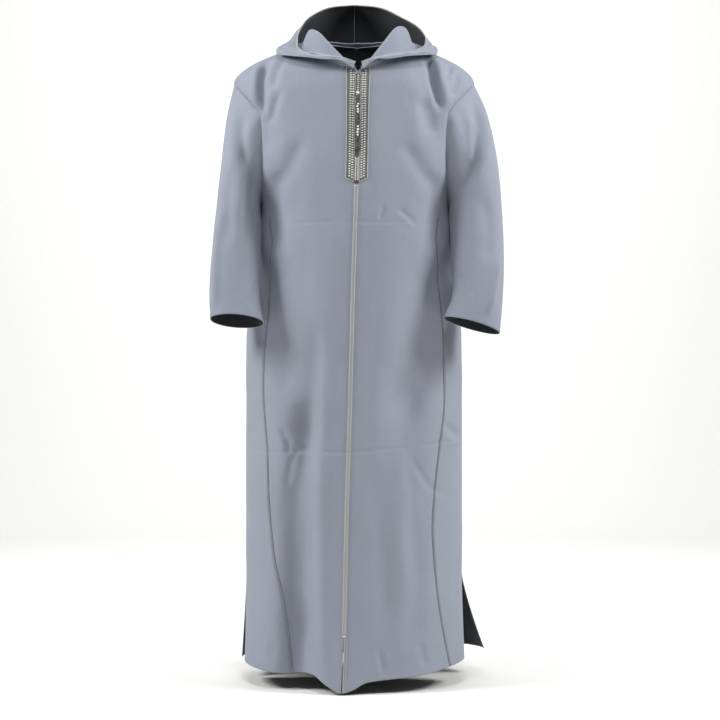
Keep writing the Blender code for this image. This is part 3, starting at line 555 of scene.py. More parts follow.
def clothSheet(name, points, flip, node, materials, closed=False, slots=None, thickness=clothThickness):
    mesh, (width, length) = meshFromGrid(name, points, flip, closed, slots)
    piece = newObject(name, mesh, materials)
    thicken(piece, thickness, 1 if len(materials) > 1 else 0)
    if node:
        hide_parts(node)
    piece["cutWidth"], piece["cutLength"], piece["cutArea"] = width, length, gridArea(points)
    return piece


def declareCut(piece):
    # the cut is flat again when each thread is pulled straight: its longest width and length
    margin = 1.002
    width, length, area = piece["cutWidth"], piece["cutLength"], piece["cutArea"]
    length = max(length, area / width * margin)
    print(f"cut {piece.name}: {width:.3f} x {length:.3f} m, {area:.3f} m2")


# stitches, cords and beads: one small shape stamped along a seam

def smallShape(kind):
    form = bmesh.new()
    if kind == "bar":
        bmesh.ops.create_cube(form, size=1.0)
        bmesh.ops.bevel(form, geom=form.edges, offset=0.22, segments=1, affect="EDGES")
    else:
        around, rings = (8, 6) if kind == "bead" else (6, 4)
        bmesh.ops.create_uvsphere(form, u_segments=around, v_segments=rings, radius=0.5)
    verts = np.array([vertex.co for vertex in form.verts])
    faces = [[vertex.index for vertex in face.verts] for face in form.faces]
    form.free()
    return verts, faces


stitchShape, beadShape, barShape = smallShape("stitch"), smallShape("bead"), smallShape("bar")


def stamp(name, shape, places, material, node=None):
    # places are centres, along and out directions, and sizes (along, across, out)
    verts, faces = shape
    centres, along, out, sizes = [np.asarray(item, float) for item in places]
    along = unit(along - out * (along * out).sum(-1, keepdims=True))
    across = np.cross(out, along)
    sizes = np.broadcast_to(sizes, (len(centres), 3))
    local = verts[None] * sizes[:, None]
    placed = (centres[:, None] + local[..., :1] * along[:, None] + local[..., 1:2] * across[:, None]
              + local[..., 2:] * out[:, None])
    count = len(verts)
    starts = range(0, count * len(centres), count)
    allFaces = [[corner + start for corner in face] for start in starts for face in faces]
    mesh = bpy.data.meshes.new(name)
    mesh.from_pydata(placed.reshape(-1, 3).tolist(), [], allFaces)
    mesh.shade_smooth()
    piece = newObject(name, mesh, [material])
    if node:
        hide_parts(node)
    return piece


def alongLine(pointsAt, low, high, pitch):
    # evenly spaced places on a line given by pointsAt(share) -> points, normals
    samples = 400
    share = np.linspace(low, high, samples)
    points, _ = pointsAt(share)
    run = np.concatenate([[0], np.cumsum(np.linalg.norm(np.diff(points, axis=0), axis=1))])
    count = max(2, int(run[-1] / pitch))
    picked = np.interp((np.arange(count) + 0.5) * run[-1] / count, run, share)
    centres, normals = pointsAt(picked)
    ahead, _ = pointsAt(picked + (high - low) * 1e-3)
    return centres, unit(ahead - centres), normals, picked


def joinPlaces(*groups):
    whole = [[np.broadcast_to(part, (len(group[0]), 3)) for part in group] for group in groups]
    return [np.concatenate(parts) for parts in zip(*whole)]


def herringbone(pointsAt, low, high, pitch, offset, size, lean):
    # two columns of leaning plaits either side of a line
    centres, along, normals, _ = alongLine(pointsAt, low, high, pitch)
    across = np.cross(normals, along)
    groups = []
    for column in (-1, 1):
        lean3 = unit(along + across * column * lean)
        groups.append((centres + across * column * offset, lean3, normals, np.array(size)))
    return joinPlaces(*groups)


def stitchRow(pointsAt, low, high, pitch, size):
    centres, along, normals, _ = alongLine(pointsAt, low, high, pitch)
    return centres, along, normals, np.broadcast_to(np.array(size), (len(centres), 3))


# the panels

sheets = {}
trims = {name: [] for name in ("frontRight", "frontLeft", "back", "sleeveRight", "sleeveLeft",
                               "hoodRight", "hoodLeft")}
panel = dict(columns=84, rows=440, goreColumns=24, goreRows=300, backColumns=64, backRows=330,
             # how far the panels stop from the gore seam, and the gore's row from its point
             seamShift=-0.0002, goreShift=0.0003, goreEnd=0.004)


def trimsOf(side, face):
    return trims["front" + sideWord[side] if face == front else "back"]


# by default a sheet's inside faces get painted shade from the dark inside material
def makeSheet(kind, side, points, flip, materials=(cloth, paintedShadeInside), **settings):
    name = kind + sideWord[side]
    sheets[name] = clothSheet(name, points, flip, kind + "_" + nodeWord[side], materials, **settings)


for side in (right, left):
    row = np.linspace(0.0, body["topRow"], panel["rows"])[:, None]
    turn = np.linspace(0, 1, panel["columns"])[None] * frontEdge(side, row, panel["seamShift"])
    makeSheet("front", side, bodySurface(side, front, turn, row)[0], side == right)

    row = np.linspace(0.0, body["underarm"] + body["gorePoint"] - panel["goreEnd"], panel["goreRows"])[:, None]
    seamTurn = frontEdge(side, row, panel["goreShift"])
    turn = seamTurn + (1 - seamTurn) * np.linspace(0, 1, panel["goreColumns"])[None]
    makeSheet("gore", side, bodySurface(side, front, turn, row)[0], side == right)


def makeBack():
    # two mirrored halves of one panel, welded up to the nape
    row = np.linspace(0.0, body["topRow"], panel["backRows"])[:, None]
    turn = np.linspace(0, 1, panel["backColumns"])[None]
    halves = [bodySurface(side, back, turn, row)[0] for side in (right, left)]
    made = [meshFromGrid("back", points, side == left) for points, side in zip(halves, (right, left))]
    form = bmesh.new()
    for mesh, _ in made:
        form.from_mesh(mesh)
    bmesh.ops.remove_doubles(form, verts=form.verts, dist=0.0002)
    whole, (halfWidth, length) = made[0]
    form.to_mesh(whole)
    form.free()
    whole.shade_smooth()
    # the back's inside faces get painted shade from the dark inside material
    piece = newObject("backPanel", whole, [cloth, paintedShadeInside])
    thicken(piece, clothThickness, 1)
    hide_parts("back")
    piece["cutWidth"] = halfWidth + made[1][1][0]
    piece["cutLength"], piece["cutArea"] = length, gridArea(halves[0]) + gridArea(halves[1])
    return piece


sheets["back"] = makeBack()
print("body panels made")


# sleeves

sleeve = dict(
    columns=132, rows=132, tuck=0.004,
    # outer x and height, inner x and height, centre y, half depth, drop of the back, armhole share
    rings={
        right: [
            (0.283, 1.394, 0.2145, 1.092, 0, 0.08, 0, 1),
            (0.297, 1.33, 0.218, 1.082, -0.007, 0.078, 0, 0.6),
            (0.305, 1.262, 0.219, 1.062, -0.022, 0.076, 0, 0.25),
            (0.311, 1.19, 0.217, 1.028, -0.043, 0.073, 0.001, 0.06),
            (0.318, 1.11, 0.216, 0.985, -0.062, 0.068, 0.002, 0),
            (0.3245, 1.03, 0.2155, 0.94, -0.079, 0.062, 0.004, 0),
            (0.3295, 0.96, 0.216, 0.905, -0.095, 0.055, 0.006, 0),
            (0.3315, 0.894, 0.213, 0.866, -0.11, 0.047, 0.012, 0),
            (0.329, 0.838, 0.205, 0.83, -0.122, 0.041, 0.015, 0),
        ],
        left: [
            (0.285, 1.394, 0.2145, 1.092, 0, 0.08, 0, 1),
            (0.309, 1.337, 0.22, 1.086, -0.007, 0.078, 0, 0.6),
            (0.3255, 1.268, 0.224, 1.074, -0.022, 0.076, 0, 0.25),
            (0.337, 1.19, 0.225, 1.04, -0.043, 0.073, 0.001, 0.06),
            (0.342, 1.105, 0.224, 0.995, -0.062, 0.068, 0.002, 0),
            (0.345, 1.02, 0.2245, 0.95, -0.079, 0.062, 0.004, 0),
            (0.344, 0.945, 0.2265, 0.912, -0.095, 0.055, 0.006, 0),
            (0.34, 0.875, 0.2215, 0.88, -0.11, 0.047, 0.008, 0),
            (0.3335, 0.806, 0.2055, 0.842, -0.122, 0.041, 0.009, 0),
        ],
    },
    creases={
        (right, front): [
            (-0.0075, 0.0085, 0, [(-0.304, 1.1), (-0.3145, 0.96), (-0.316, 0.85)]),
            (0.0095, 0.015, 0.3, [(-0.262, 1.33), (-0.262, 1.27), (-0.246, 1.18)]),
            (0.009, 0.016, 0.25, [(-0.228, 1.2), (-0.236, 1.08), (-0.24, 0.99)]),
            (0.0065, 0.019, 0.25, [(-0.28, 1.2), (-0.29, 1.1), (-0.28, 1)]),
            (0.0025, 0.006, 0.3, [(-0.222, 0.93), (-0.232, 0.89), (-0.24, 0.87)]),
        ],
        (left, front): [
            (-0.008, 0.0085, 0, [(0.334, 1), (0.316, 0.9), (0.304, 0.84)]),
            (0.013, 0.015, -0.35, [(0.281, 1.372), (0.291, 1.29), (0.278, 1.205), (0.24, 1.13)]),
            (0.007, 0.015, 0.25, [(0.252, 1.33), (0.262, 1.24), (0.248, 1.16)]),
            (0.007, 0.02, 0.25, [(0.3, 1.13), (0.31, 1.04), (0.296, 0.96)]),
            (0.0025, 0.007, 0.3, [(0.24, 0.95), (0.256, 0.91), (0.27, 0.89)]),
        ],
        (right, back): [
            (0.006, 0.012, 0.3, [(-0.235, 1.3), (-0.262, 1.22), (-0.256, 1.13)]),
            (0.0045, 0.014, 0.25, [(-0.3, 1.15), (-0.286, 1.06), (-0.3, 0.96)]),
            (0.0035, 0.011, 0.25, [(-0.24, 1.04), (-0.262, 0.98), (-0.25, 0.9)]),
        ],
        (left, back): [
            (0.006, 0.012, -0.3, [(0.24, 1.31), (0.268, 1.23), (0.262, 1.13)]),
            (0.0045, 0.014, -0.25, [(0.312, 1.16), (0.298, 1.06), (0.31, 0.95)]),
            (0.0035, 0.011, -0.25, [(0.25, 1.05), (0.27, 0.98), (0.262, 0.9)]),
        ],
    },
)


def sleevePoints(side, around, along):
    rings = [(index, *ring) for index, ring in enumerate(sleeve["rings"][side])]
    around, along = np.broadcast_arrays(np.asarray(around, float), np.asarray(along, float))
    found = readTable(rings, along * (len(rings) - 1))
    outerX, outerH, innerX, innerH, centreY, halfDepth, drop, armhole = found
    angle = around * 2 * np.pi
    isFront = around <= 0.5
    share = np.where(isFront, 2 * around, 2 - 2 * around)
    reach = (1 + np.cos(angle)) / 2
    x = side * (innerX + (outerX - innerX) * reach)
    height = innerH + (outerH - innerH) * reach + drop * np.sin(angle)
    y = centreY - halfDepth * np.sin(angle)
    row = body["topRow"] + (body["underarm"] - body["topRow"]) * share
    edges = [np.stack(sidePoint(side, face, row), -1) for face in (front, back)]
    cap = np.where(isFront[..., None], edges[0], edges[1])
    first = rings[0][1:]
    shoulder = np.stack([side * (outerX - first[0]), centreY, outerH - first[1]], -1)
    underarm = np.stack([side * (innerX - first[2]), centreY, innerH - first[3]], -1)
    gap = np.stack([side * 0.0006 + 0 * share, 0 * share, 0 * share], -1)
    cap = cap + gap + shoulder + (underarm - shoulder) * share[..., None]
    points = np.stack([x, y, height], -1)
    points = points + (cap - points) * armhole[..., None]
    tuck = sleeve["tuck"] * np.exp(-((along - 0.26) / 0.13) ** 2) * (1 - reach)
    points = points - side * np.stack([tuck, 0 * tuck, 0 * tuck], -1)
    return points - np.array([0, 0, shoulderHeight])


def sleeveSurface(side, around, along, lift=0.0):
    around, along = np.broadcast_arrays(np.asarray(around, float), np.asarray(along, float))
    around = around % 1.0
    points = sleevePoints(side, around, along)
    step = 0.004
    across = sleevePoints(side, (around + step) % 1.0, along) - sleevePoints(side, (around - step) % 1.0, along)
    down = (sleevePoints(side, around, np.minimum(along + step, 1))
            - sleevePoints(side, around, np.maximum(along - step, 0)))
    normals = unit(np.cross(across, down)) * side
    centre = sleevePoints(side, (around + 0.5) % 1.0, along)
    normals = normals * np.where(((points - centre) * normals).sum(-1, keepdims=True) < 0, -1, 1)
    x, height = points[..., 0], points[..., 2] + shoulderHeight
    facing = np.sin(around * 2 * np.pi)
    depth = sum(relief(sleeve["creases"][(side, face)], x, height) * softStep(facing * -face * 3)
                for face in (front, back))
    depth = depth + 0.0012 * softNoise(x + facing * 0.1, height, (0.04, 0.12), 21 + side)
    depth = depth * softStep(along / 0.05) * softStep((1.02 - along) / 0.04)
    return points + normals * (lift - depth)[..., None], normals


for side in (right, left):
    around, along = np.meshgrid(np.linspace(0, 1, sleeve["columns"] + 1), np.linspace(0, 1, sleeve["rows"]))
    makeSheet("sleeve", side, sleeveSurface(side, around, along)[0], side == right, closed=True)
print("sleeves made")


# hood

hood = dict(
    columns=120, rows=120, clearance=0.0125, layerGap=0.0055,
    # the front of the hood beside the neck: its share across and along, inside which the inner face keeps the
    # cloth colour while the rest of the inside gets painted shade, width of the fold and its direction
    flapShare=0.34, flapEnd=0.50, flapWidth=0.24, flapWay=(0.10, -0.15, 1.0),
    # how high the front of the hood stands up beside the neck: place along it, height
    flaps={
        right: [(0, 0), (0.111, 0.004), (0.222, 0.018), (0.333, 0.036), (0.444, 0.03), (0.556, 0.006),
                (0.667, 0), (1, 0)],
        left: [(0, 0), (0.111, 0.005), (0.222, 0.022), (0.333, 0.045), (0.444, 0.036), (0.556, 0.008),
               (0.667, 0), (1, 0)],
    },
    # neckline seam, outermost fold, control of the upper layer, rim: distance from x = 0, y, height
    sections={
        right: [
            ((-0.004, -0.12, 1.41), (-0.001, -0.133, 1.408), (0, -0.135, 1.418), (-0.003, -0.128, 1.424)),
            ((0.018, -0.108, 1.429), (0.03, -0.133, 1.428), (0.03, -0.135, 1.433), (0.03, -0.126, 1.435)),
            ((0.041, -0.083, 1.452), (0.07, -0.13, 1.432), (0.072, -0.131, 1.438), (0.068, -0.12, 1.439)),
            ((0.062, -0.05, 1.474), (0.125, -0.106, 1.441), (0.123, -0.106, 1.45), (0.105, -0.097, 1.448)),
            ((0.076, -0.005, 1.496), (0.18, -0.04, 1.456), (0.168, -0.045, 1.482), (0.131, -0.055, 1.47)),
            ((0.074, 0.03, 1.499), (0.174, 0.025, 1.458), (0.162, 0.02, 1.508), (0.1325, -0.012, 1.502)),
            ((0.061, 0.055, 1.5), (0.172, 0.095, 1.41), (0.145, 0.075, 1.54), (0.124, 0.015, 1.53)),
            ((0.039, 0.071, 1.501), (0.135, 0.15, 1.29), (0.12, 0.14, 1.56), (0.106, 0.05, 1.56)),
            ((0.018, 0.079, 1.502), (0.067, 0.176, 1.15), (0.062, 0.18, 1.585), (0.062, 0.09, 1.59)),
            ((0.0003, 0.082, 1.502), (0.0003, 0.182, 1.08), (0.0003, 0.2, 1.57), (0.0003, 0.115, 1.602)),
        ],
        left: [
            ((0.016, -0.12, 1.41), (0.019, -0.133, 1.408), (0.02, -0.135, 1.418), (0.017, -0.128, 1.424)),
            ((0.034, -0.108, 1.429), (0.046, -0.133, 1.427), (0.046, -0.135, 1.432), (0.046, -0.126, 1.434)),
            ((0.055, -0.083, 1.452), (0.085, -0.13, 1.433), (0.087, -0.131, 1.439), (0.084, -0.12, 1.44)),
            ((0.076, -0.05, 1.474), (0.14, -0.106, 1.444), (0.142, -0.106, 1.453), (0.13, -0.097, 1.452)),
            ((0.09, -0.005, 1.496), (0.193, -0.04, 1.457), (0.189, -0.045, 1.478), (0.164, -0.055, 1.474)),
            ((0.088, 0.03, 1.499), (0.188, 0.025, 1.462), (0.184, 0.02, 1.502), (0.168, -0.007, 1.502)),
            ((0.075, 0.055, 1.5), (0.182, 0.095, 1.41), (0.165, 0.075, 1.53), (0.15, 0.02, 1.532)),
            ((0.053, 0.071, 1.501), (0.14, 0.15, 1.29), (0.128, 0.14, 1.565), (0.112, 0.05, 1.56)),
            ((0.026, 0.079, 1.502), (0.072, 0.176, 1.15), (0.062, 0.18, 1.585), (0.064, 0.09, 1.59)),
            ((0.0003, 0.082, 1.502), (0.0003, 0.182, 1.08), (0.0003, 0.2, 1.57), (0.0003, 0.115, 1.602)),
        ],
    },
)


def bodyTree():
    rows, columns = 61, 31
    points, faces = [], []
    for side in (right, left):
        for face in (front, back):
            row, turn = np.meshgrid(np.linspace(0.9, 1.5, rows), np.linspace(0, 1, columns), indexing="ij")
            index = len(points) + np.arange(rows * columns).reshape(rows, columns)
            quads = quadCorners(index, -1).reshape(-1, 4).tolist()
            points += bodyPoints(side, face, turn, row).reshape(-1, 3).tolist()
            faces += [quad[::-1] for quad in quads] if side * face > 0 else quads
    return BVHTree.FromPolygons(points, faces)


def hoodPoints(side, across, along, tree):
    sections = [(index, *sum(section, ())) for index, section in enumerate(hood["sections"][side])]
    across, along = np.broadcast_arrays(np.asarray(across, float), np.asarray(along, float))
    values = np.moveaxis(readTable(sections, along * (len(sections) - 1)), 0, -1)
    seam, fold, control, rim = [values[..., start:start + 3] for start in (0, 3, 6, 9)]
    lower = np.clip(across * 2, 0, 1)[..., None]
    upper = np.clip(across * 2 - 1, 0, 1)[..., None]
    bulge = np.sin(np.pi * np.clip(across / hood["flapWidth"], 0, 1)) ** 1.5
    flap = readTable(hood["flaps"][side], along)[0] * bulge
    middle = (seam + fold) / 2
    under = seam * (1 - lower) ** 2 + middle * 2 * lower * (1 - lower) + fold * lower ** 2
    over = fold * (1 - upper) ** 2 + control * 2 * upper * (1 - upper) + rim * upper ** 2
    points = np.where(across[..., None] < 0.5, under, over)
    points = points + flap[..., None] * np.array(hood["flapWay"])
    points = points * np.array([side, 1, 1]) - np.array([0, 0, shoulderHeight])
    # the upper layer keeps clear of the lower one, and both of the shoulders
    clearance = hood["clearance"] + hood["layerGap"] * np.clip((across - 0.5) / 0.06, -0.3, 1)
    clearance = clearance.reshape(-1)
    flat = points.reshape(-1, 3)
    for number, point in enumerate(flat):
        nearest, normal, _, distance = tree.find_nearest(point)
        over = float(np.dot(point - np.array(nearest), normal))
        if over < clearance[number] and distance < 0.03:
            flat[number] = point + np.array(normal) * (clearance[number] - over)
    return flat.reshape(points.shape)


tree = bodyTree()
hoodGrids = {}
for side in (right, left):
    across, along = np.meshgrid(np.linspace(0, 1, hood["columns"]), np.linspace(0, 1, hood["rows"]))
    points = hoodPoints(side, across, along, tree)
    acrossStep, alongStep = np.gradient(points, axis=1), np.gradient(points, axis=0)
    normals = unit(np.cross(acrossStep, alongStep)) * -side
    ripple = 0.0014 * softNoise(across * 0.5, along * 0.8, (0.045, 0.06), 31 + side)
    ripple = ripple * softStep(across / 0.05) * softStep((1 - across) / 0.04) * softStep((1 - along) / 0.03)
    points = points + normals * (0.0009 + ripple)[..., None]
    hoodGrids[side] = points, normals
    # outside the flap the hood's inner faces get painted shade from the dark inside material; the flap's inner
    # face keeps the cloth colour
    slots = np.where((across[:-1, :-1] < hood["flapShare"]) & (along[:-1, :-1] < hood["flapEnd"]), 2, 0)
    makeSheet("hood", side, points, side == left, [cloth, paintedShadeInside, cloth, cloth], slots=slots)
print("hood made")


# braids and seams

# heights of the point of the neckline and of the foot of the placket
vHeight, placketFoot = 1.404, 1.145
braid = dict(
    pitch=0.0034, offset=0.0027, size=(0.0064, 0.0021, 0.0015), lean=0.85, tack=0.126, channelTop=1.204,
    end=0.004, groundHalf=0.0044,
    slit=dict(pitch=0.0034, offset=0.0020, size=(0.0048, 0.0018, 0.0013), lean=0.85),
    gore=dict(pitch=0.0034, offset=0.0009, size=(0.0036, 0.0011, 0.0010), lean=0.7),
    pocket=dict(pitch=0.0032, offset=0.0014, size=(0.0042, 0.0016, 0.0013), lean=0.8),
    # the tack across the top of the slit, and the dark seam beside each gore
    tackSize=(0.0105, 0.0011, 0.0016), tackStep=0.0009, darkSize=(0.0044, 0.0012, 0.0006), darkPitch=0.0042,
    goreEnds=(0.002, 1.074),
)
centrePlait = {name: braid[name] for name in ("pitch", "offset", "size", "lean")}


def plait(name, line, low, high, style, material, node=None):
    return stamp(name, stitchShape, herringbone(line, low, high, **style), material, node)


low, high = braid["tack"] + braid["end"], placketFoot - braid["end"]
row = np.linspace(low, high, 240)
near, far = [frontAt(side, braid["groundHalf"], row, 0.0012)[0][:, None] for side in (right, left)]
share = np.linspace(0, 1, 5)[None, :, None]
trims["frontLeft"] += [
    clothSheet("centreBraidGround", near * (1 - share) + far * share, False, None, [braidThread],
               thickness=0.0008),
    plait("centreBraid", lineOnFront(left, 0.0, 0.0016), low, high, centrePlait, braidThread, "centre_braid"),
    plait("channelBraid", lineOnFront(left, 0.0, 0.0026), placketFoot + 0.006, braid["channelTop"],
          centrePlait, paleThread),
    plait("slitBraid", lineOnFront(left, 0.0045, 0.0014), 0.002, braid["tack"] - 0.006, braid["slit"],
          braidThread, "slit_braid"),
]
tackPlace = frontAt(left, 0.0, np.array([braid["tack"]]), 0.0022)
tackRow = [(tackPlace[0] + np.array([0, 0, braid["tackStep"]]) * number, np.array([[1.0, 0, 0]]), tackPlace[1],
            np.array(braid["tackSize"])) for number in range(-2, 3)]
trims["frontLeft"].append(stamp("slitTack", stitchShape, joinPlaces(*tackRow), paleThread, "slit_tack"))

for side in (right, left):
    word = sideWord[side]
    cord = plait("goreBraid" + word, goreLine(side, 0.0, 0.0007), *braid["goreEnds"], braid["gore"],
                 braidThread, "gore_braid_" + nodeWord[side])
    dark = stamp("goreSeam" + word, barShape, stitchRow(goreLine(side, -0.0023, 0.0001), *braid["goreEnds"],
                 braid["darkPitch"], braid["darkSize"]), darkThread)
    trims["front" + word] += [cord, dark]

    for face, faceName in faceSides:
        low, high, _ = body["pocket"]
        lip = plait("pocketBraid" + word + faceName.capitalize(), bodyLine(side, face, 1 - 0.008, 0.0008),
                    low + braid["end"], high - braid["end"], braid["pocket"], braidThread,
                    "pocket_braid_" + nodeWord[side] + "_" + faceName)
        trimsOf(side, face).append(lip)
print("braids made")


# placket and zip

placket = dict(
    channel=0.0060, width=0.0236, topWidth=0.0262, bottom=placketFoot, top=vHeight - 0.006, rise=0.85, point=0.012,
    # sizes are along, across and out of the cloth
    bars=(0.0104, 0.0162), barSize=(0.0026, 0.0044, 0.0014), barPitch=0.0056,
    pipingGap=0.0006, pipingLift=0.0014, pipingSize=(0.0036, 0.0024, 0.0024), pipingPitch=0.0022,
    edgeSize=(0.0034, 0.0017, 0.0014), edgePitch=0.0024,
    toothSize=(0.0032, 0.0030, 0.0016), toothPitch=0.0046, firstTooth=1.352,
)


def placketRow(share):
    return placket["bottom"] + (placket["top"] - placket["bottom"]) * share


def placketWidth(row):
    share = np.clip((row - placket["bottom"]) / (placket["top"] - placket["bottom"]) * 2 - 1, 0, 1)
    return placket["width"] + (placket["topWidth"] - placket["width"]) * share


def placketAt(side, distance, share, lift):
    # a place on the placket: distance from the centre line, share from its point to the neckline
    distance, share = np.broadcast_arrays(np.asarray(distance, float), np.asarray(share, float))
    low = placket["bottom"] + placket["point"] * distance / placket["width"]
    row = low + (placket["top"] + placket["rise"] * distance - low) * share
    centre = readTable(body["frontCentre"], row)[0]
    return bodySurface(side, front, turnAt(side, front, row, centre + side * distance), row, lift)


def placketLine(side, distance, lift):
    return lambda share: placketAt(side, distance, share, lift)


def pipingEdge(side):
    return lambda share: placketAt(side, placketWidth(placketRow(share)) + placket["pipingGap"], share,
                                   placket["pipingLift"])


def pipingFoot(side):
    reach = placket["width"] - placket["channel"] + placket["pipingGap"]
    return lambda share: placketAt(side, placket["channel"] + reach * share, 0 * share, placket["pipingLift"])


for side in (right, left):
    word, nodeSide = sideWord[side], nodeWord[side]
    share, across = np.meshgrid(np.linspace(0, 1, 100), np.linspace(0, 1, 12), indexing="ij")
    width = placketWidth(placketRow(share))
    points, _ = placketAt(side, placket["channel"] + (width - placket["channel"]) * across, share, 0.0015)
    band = clothSheet("placket" + word, points, side == right, "placket_" + nodeSide, [placketCloth],
                      thickness=0.0014)
    bars = [stitchRow(placketLine(side, offset, 0.0020), 0.02, 0.985, placket["barPitch"], placket["barSize"])
            for offset in placket["bars"]]
    ladder = stamp("placketStitch" + word, barShape, joinPlaces(*bars), paleThread)
    piping = stamp("placketPiping" + word, stitchShape, joinPlaces(*[
        stitchRow(line, 0.0, end, placket["pipingPitch"], placket["pipingSize"])
        for line, end in ((pipingEdge(side), 0.995), (pipingFoot(side), 1.0))]), braidThread)
    inner = stamp("placketEdge" + word, stitchShape, stitchRow(
        placketLine(side, placket["channel"] + 0.0004, 0.0022), 0.0, 0.99, placket["edgePitch"],
        placket["edgeSize"]), braidThread)
    row = np.linspace(placket["bottom"], placket["top"], 60)[:, None]
    across = np.linspace(0, 1, 4)[None]
    points, _ = frontAt(side, body["edgeGap"] + (placket["channel"] - 0.0006) * across, row, 0.0010)
    tape = clothSheet("zipTape" + word, points, side == right, "zip_tape_" + nodeSide, [tapeCloth],
                      thickness=0.0008)
    teeth = stamp("zipTeeth" + word, beadShape, stitchRow(
        lineOnFront(side, 0.0015, 0.0016), placket["firstTooth"], placket["top"] - 0.002, placket["toothPitch"],
        placket["toothSize"]), toothMetal)
    trims["front" + word] += [band, ladder, piping, inner, tape, teeth]

joints = {joint["name"]: joint for joint in frame["record"]["behaviour"]["joints"]}
hinge = np.array(joints["pull_swing"]["pos_m"])
print("placket made")


# zip slider and beaded pull, modelled as solids

def selectOnly(piece):
    bpy.ops.object.select_all(action="DESELECT")
    piece.select_set(True)
    bpy.context.view_layer.objects.active = piece


def applyPlace(piece):
    selectOnly(piece)
    bpy.ops.object.transform_apply(location=True, rotation=True, scale=True)


def smoothByAngle():
    bpy.ops.object.shade_smooth_by_angle(angle=math.radians(40))


def bevelled(piece, width, segments):
    rounded = piece.modifiers.new("edges", "BEVEL")
    rounded.width, rounded.segments = width, segments
    selectOnly(piece)
    bpy.ops.object.modifier_apply(modifier=rounded.name)
    smoothByAngle()


pull = dict(
    length=0.132, width=0.0112, thickness=0.0026, leanY=-0.1468, leanZ=-0.9892, start=0.0052, eyeLength=0.0042,
    eyeRadius=0.0019, pinRadius=0.0008, rowPitch=0.0031,
    # dark beads: first row, bare end, places across, size, how far they stray, and clear of a white one
    firstRow=0.008, bareEnd=0.007, columns=(-0.0044, -0.0015, 0.0015, 0.0044), beadSize=0.0031, stray=0.0004,
    clear=0.0030,
    # white beads: share of the length, sideways shift, size
    white=((0.188, 0.0010, 0.0044), (0.232, -0.0009, 0.0054), (0.282, 0.0003, 0.0052), (0.328, 0.0002, 0.0054),
           (0.590, 0.0000, 0.0050), (0.640, 0.0004, 0.0054), (0.690, -0.0003, 0.0056), (0.738, -0.0002, 0.0052)),
)
down = np.array([0, pull["leanY"], pull["leanZ"]])
outward = np.array([0, pull["leanZ"], -pull["leanY"]])
lean = math.atan2(-pull["leanY"], -pull["leanZ"])


def solidBox(name, size, centre, material, round):
    bpy.ops.mesh.primitive_cube_add(size=1, location=tuple(centre), rotation=(-lean, 0, 0))
    piece = bpy.context.active_object
    piece.name, piece.scale = name, size
    applyPlace(piece)
    bevelled(piece, round, 3)
    piece.data.materials.append(material)
    return piece


def solidRod(name, radius, length, material):
    bpy.ops.mesh.primitive_cylinder_add(vertices=40, radius=radius, depth=length, location=tuple(hinge),
                                        rotation=(0, math.pi / 2, 0))
    piece = bpy.context.active_object
    piece.name = name
    applyPlace(piece)
    smoothByAngle()
    piece.data.materials.append(material)
    return piece


stripLength = pull["length"] - pull["start"]
strip = solidBox("pullStrip", (pull["width"], pull["thickness"] * 0.6, stripLength),
                 hinge + down * (pull["start"] + stripLength / 2), pullBacking, 0.0007)
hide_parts("zip_pull")
neck = solidBox("pullNeck", (pull["eyeLength"], 0.0020, pull["start"] + 0.001),
                hinge + down * pull["start"] / 2, sliderMetal, 0.0004)
eye = solidRod("pullEye", pull["eyeRadius"], pull["eyeLength"], sliderMetal)
sliderBody = solidBox("zipSlider", (0.0078, 0.0026, 0.0100), hinge - outward * 0.0042 - down * 0.001,
                      sliderMetal, 0.0008)
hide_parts("zip_slider")
sliderPieces = [sliderBody, solidRod("sliderPin", pull["pinRadius"], pull["eyeLength"] + 0.002, sliderMetal)]
for side in (right, left):
    place = hinge - outward * 0.0015 + np.array([side * (pull["eyeLength"] / 2 + 0.0010), 0, 0])
    ear = solidBox("sliderEar" + sideWord[side], (0.0014, 0.0054, 0.0034), place, sliderMetal, 0.0004)
    sliderPieces.append(ear)

rng = np.random.default_rng(5)
beads = {"dark": [], "white": []}
for share, shift, size in pull["white"]:
    place = hinge + down * pull["length"] * share + outward * 0.0016 + np.array([shift, 0, 0])
    beads["white"].append((place, size))
whitePlaces = np.array([place for place, _ in beads["white"]])
for number in range(int((pull["length"] - pull["bareEnd"]) / pull["rowPitch"])):
    for offset in pull["columns"]:
        jitter = rng.uniform(-1, 1, 3) * pull["stray"]
        place = hinge + down * (pull["firstRow"] + number * pull["rowPitch"] + jitter[0]) + outward * 0.0012
        place = place + np.array([offset + jitter[1], 0, 0])
        if np.linalg.norm(whitePlaces - place, axis=1).min() > pull["clear"]:
            beads["dark"].append((place, pull["beadSize"] + jitter[2]))
pullPieces = [strip]
for kind, material in (("dark", darkBead), ("white", whiteBead)):
    centres = np.array([place for place, _ in beads[kind]])
    sizes = np.array([[size, size, size * 0.8] for _, size in beads[kind]])
    along, out = np.broadcast_to(down, centres.shape), np.broadcast_to(outward, centres.shape)
    pullPieces.append(stamp("pullBeads" + kind.capitalize(), beadShape, (centres, along, out, sizes), material))

pullPieces += [neck, eye]
print("zip made")


# fine stitching

stitching = dict(
    lift=0.0002, size=(0.0034, 0.0009, 0.0006), pitch=0.0050, hemRow=0.048, cuffShare=0.945,
    armholeInsets=(0.030, 0.060), armholeRows=(1.12, 1.495), armholeSize=(0.0032, 0.0013, 0.0008),
    armholePitch=0.0042, cordSize=(0.0062, 0.0026, 0.0036), cordPitch=0.0030, cordTwist=0.8,
)


def hemLine(side, face):
    return lambda turn: bodySurface(side, face, turn, stitching["hemRow"] + 0 * turn, stitching["lift"])


def cuffLine(side):
    return lambda around: sleeveSurface(side, around, stitching["cuffShare"] + 0 * around, stitching["lift"])


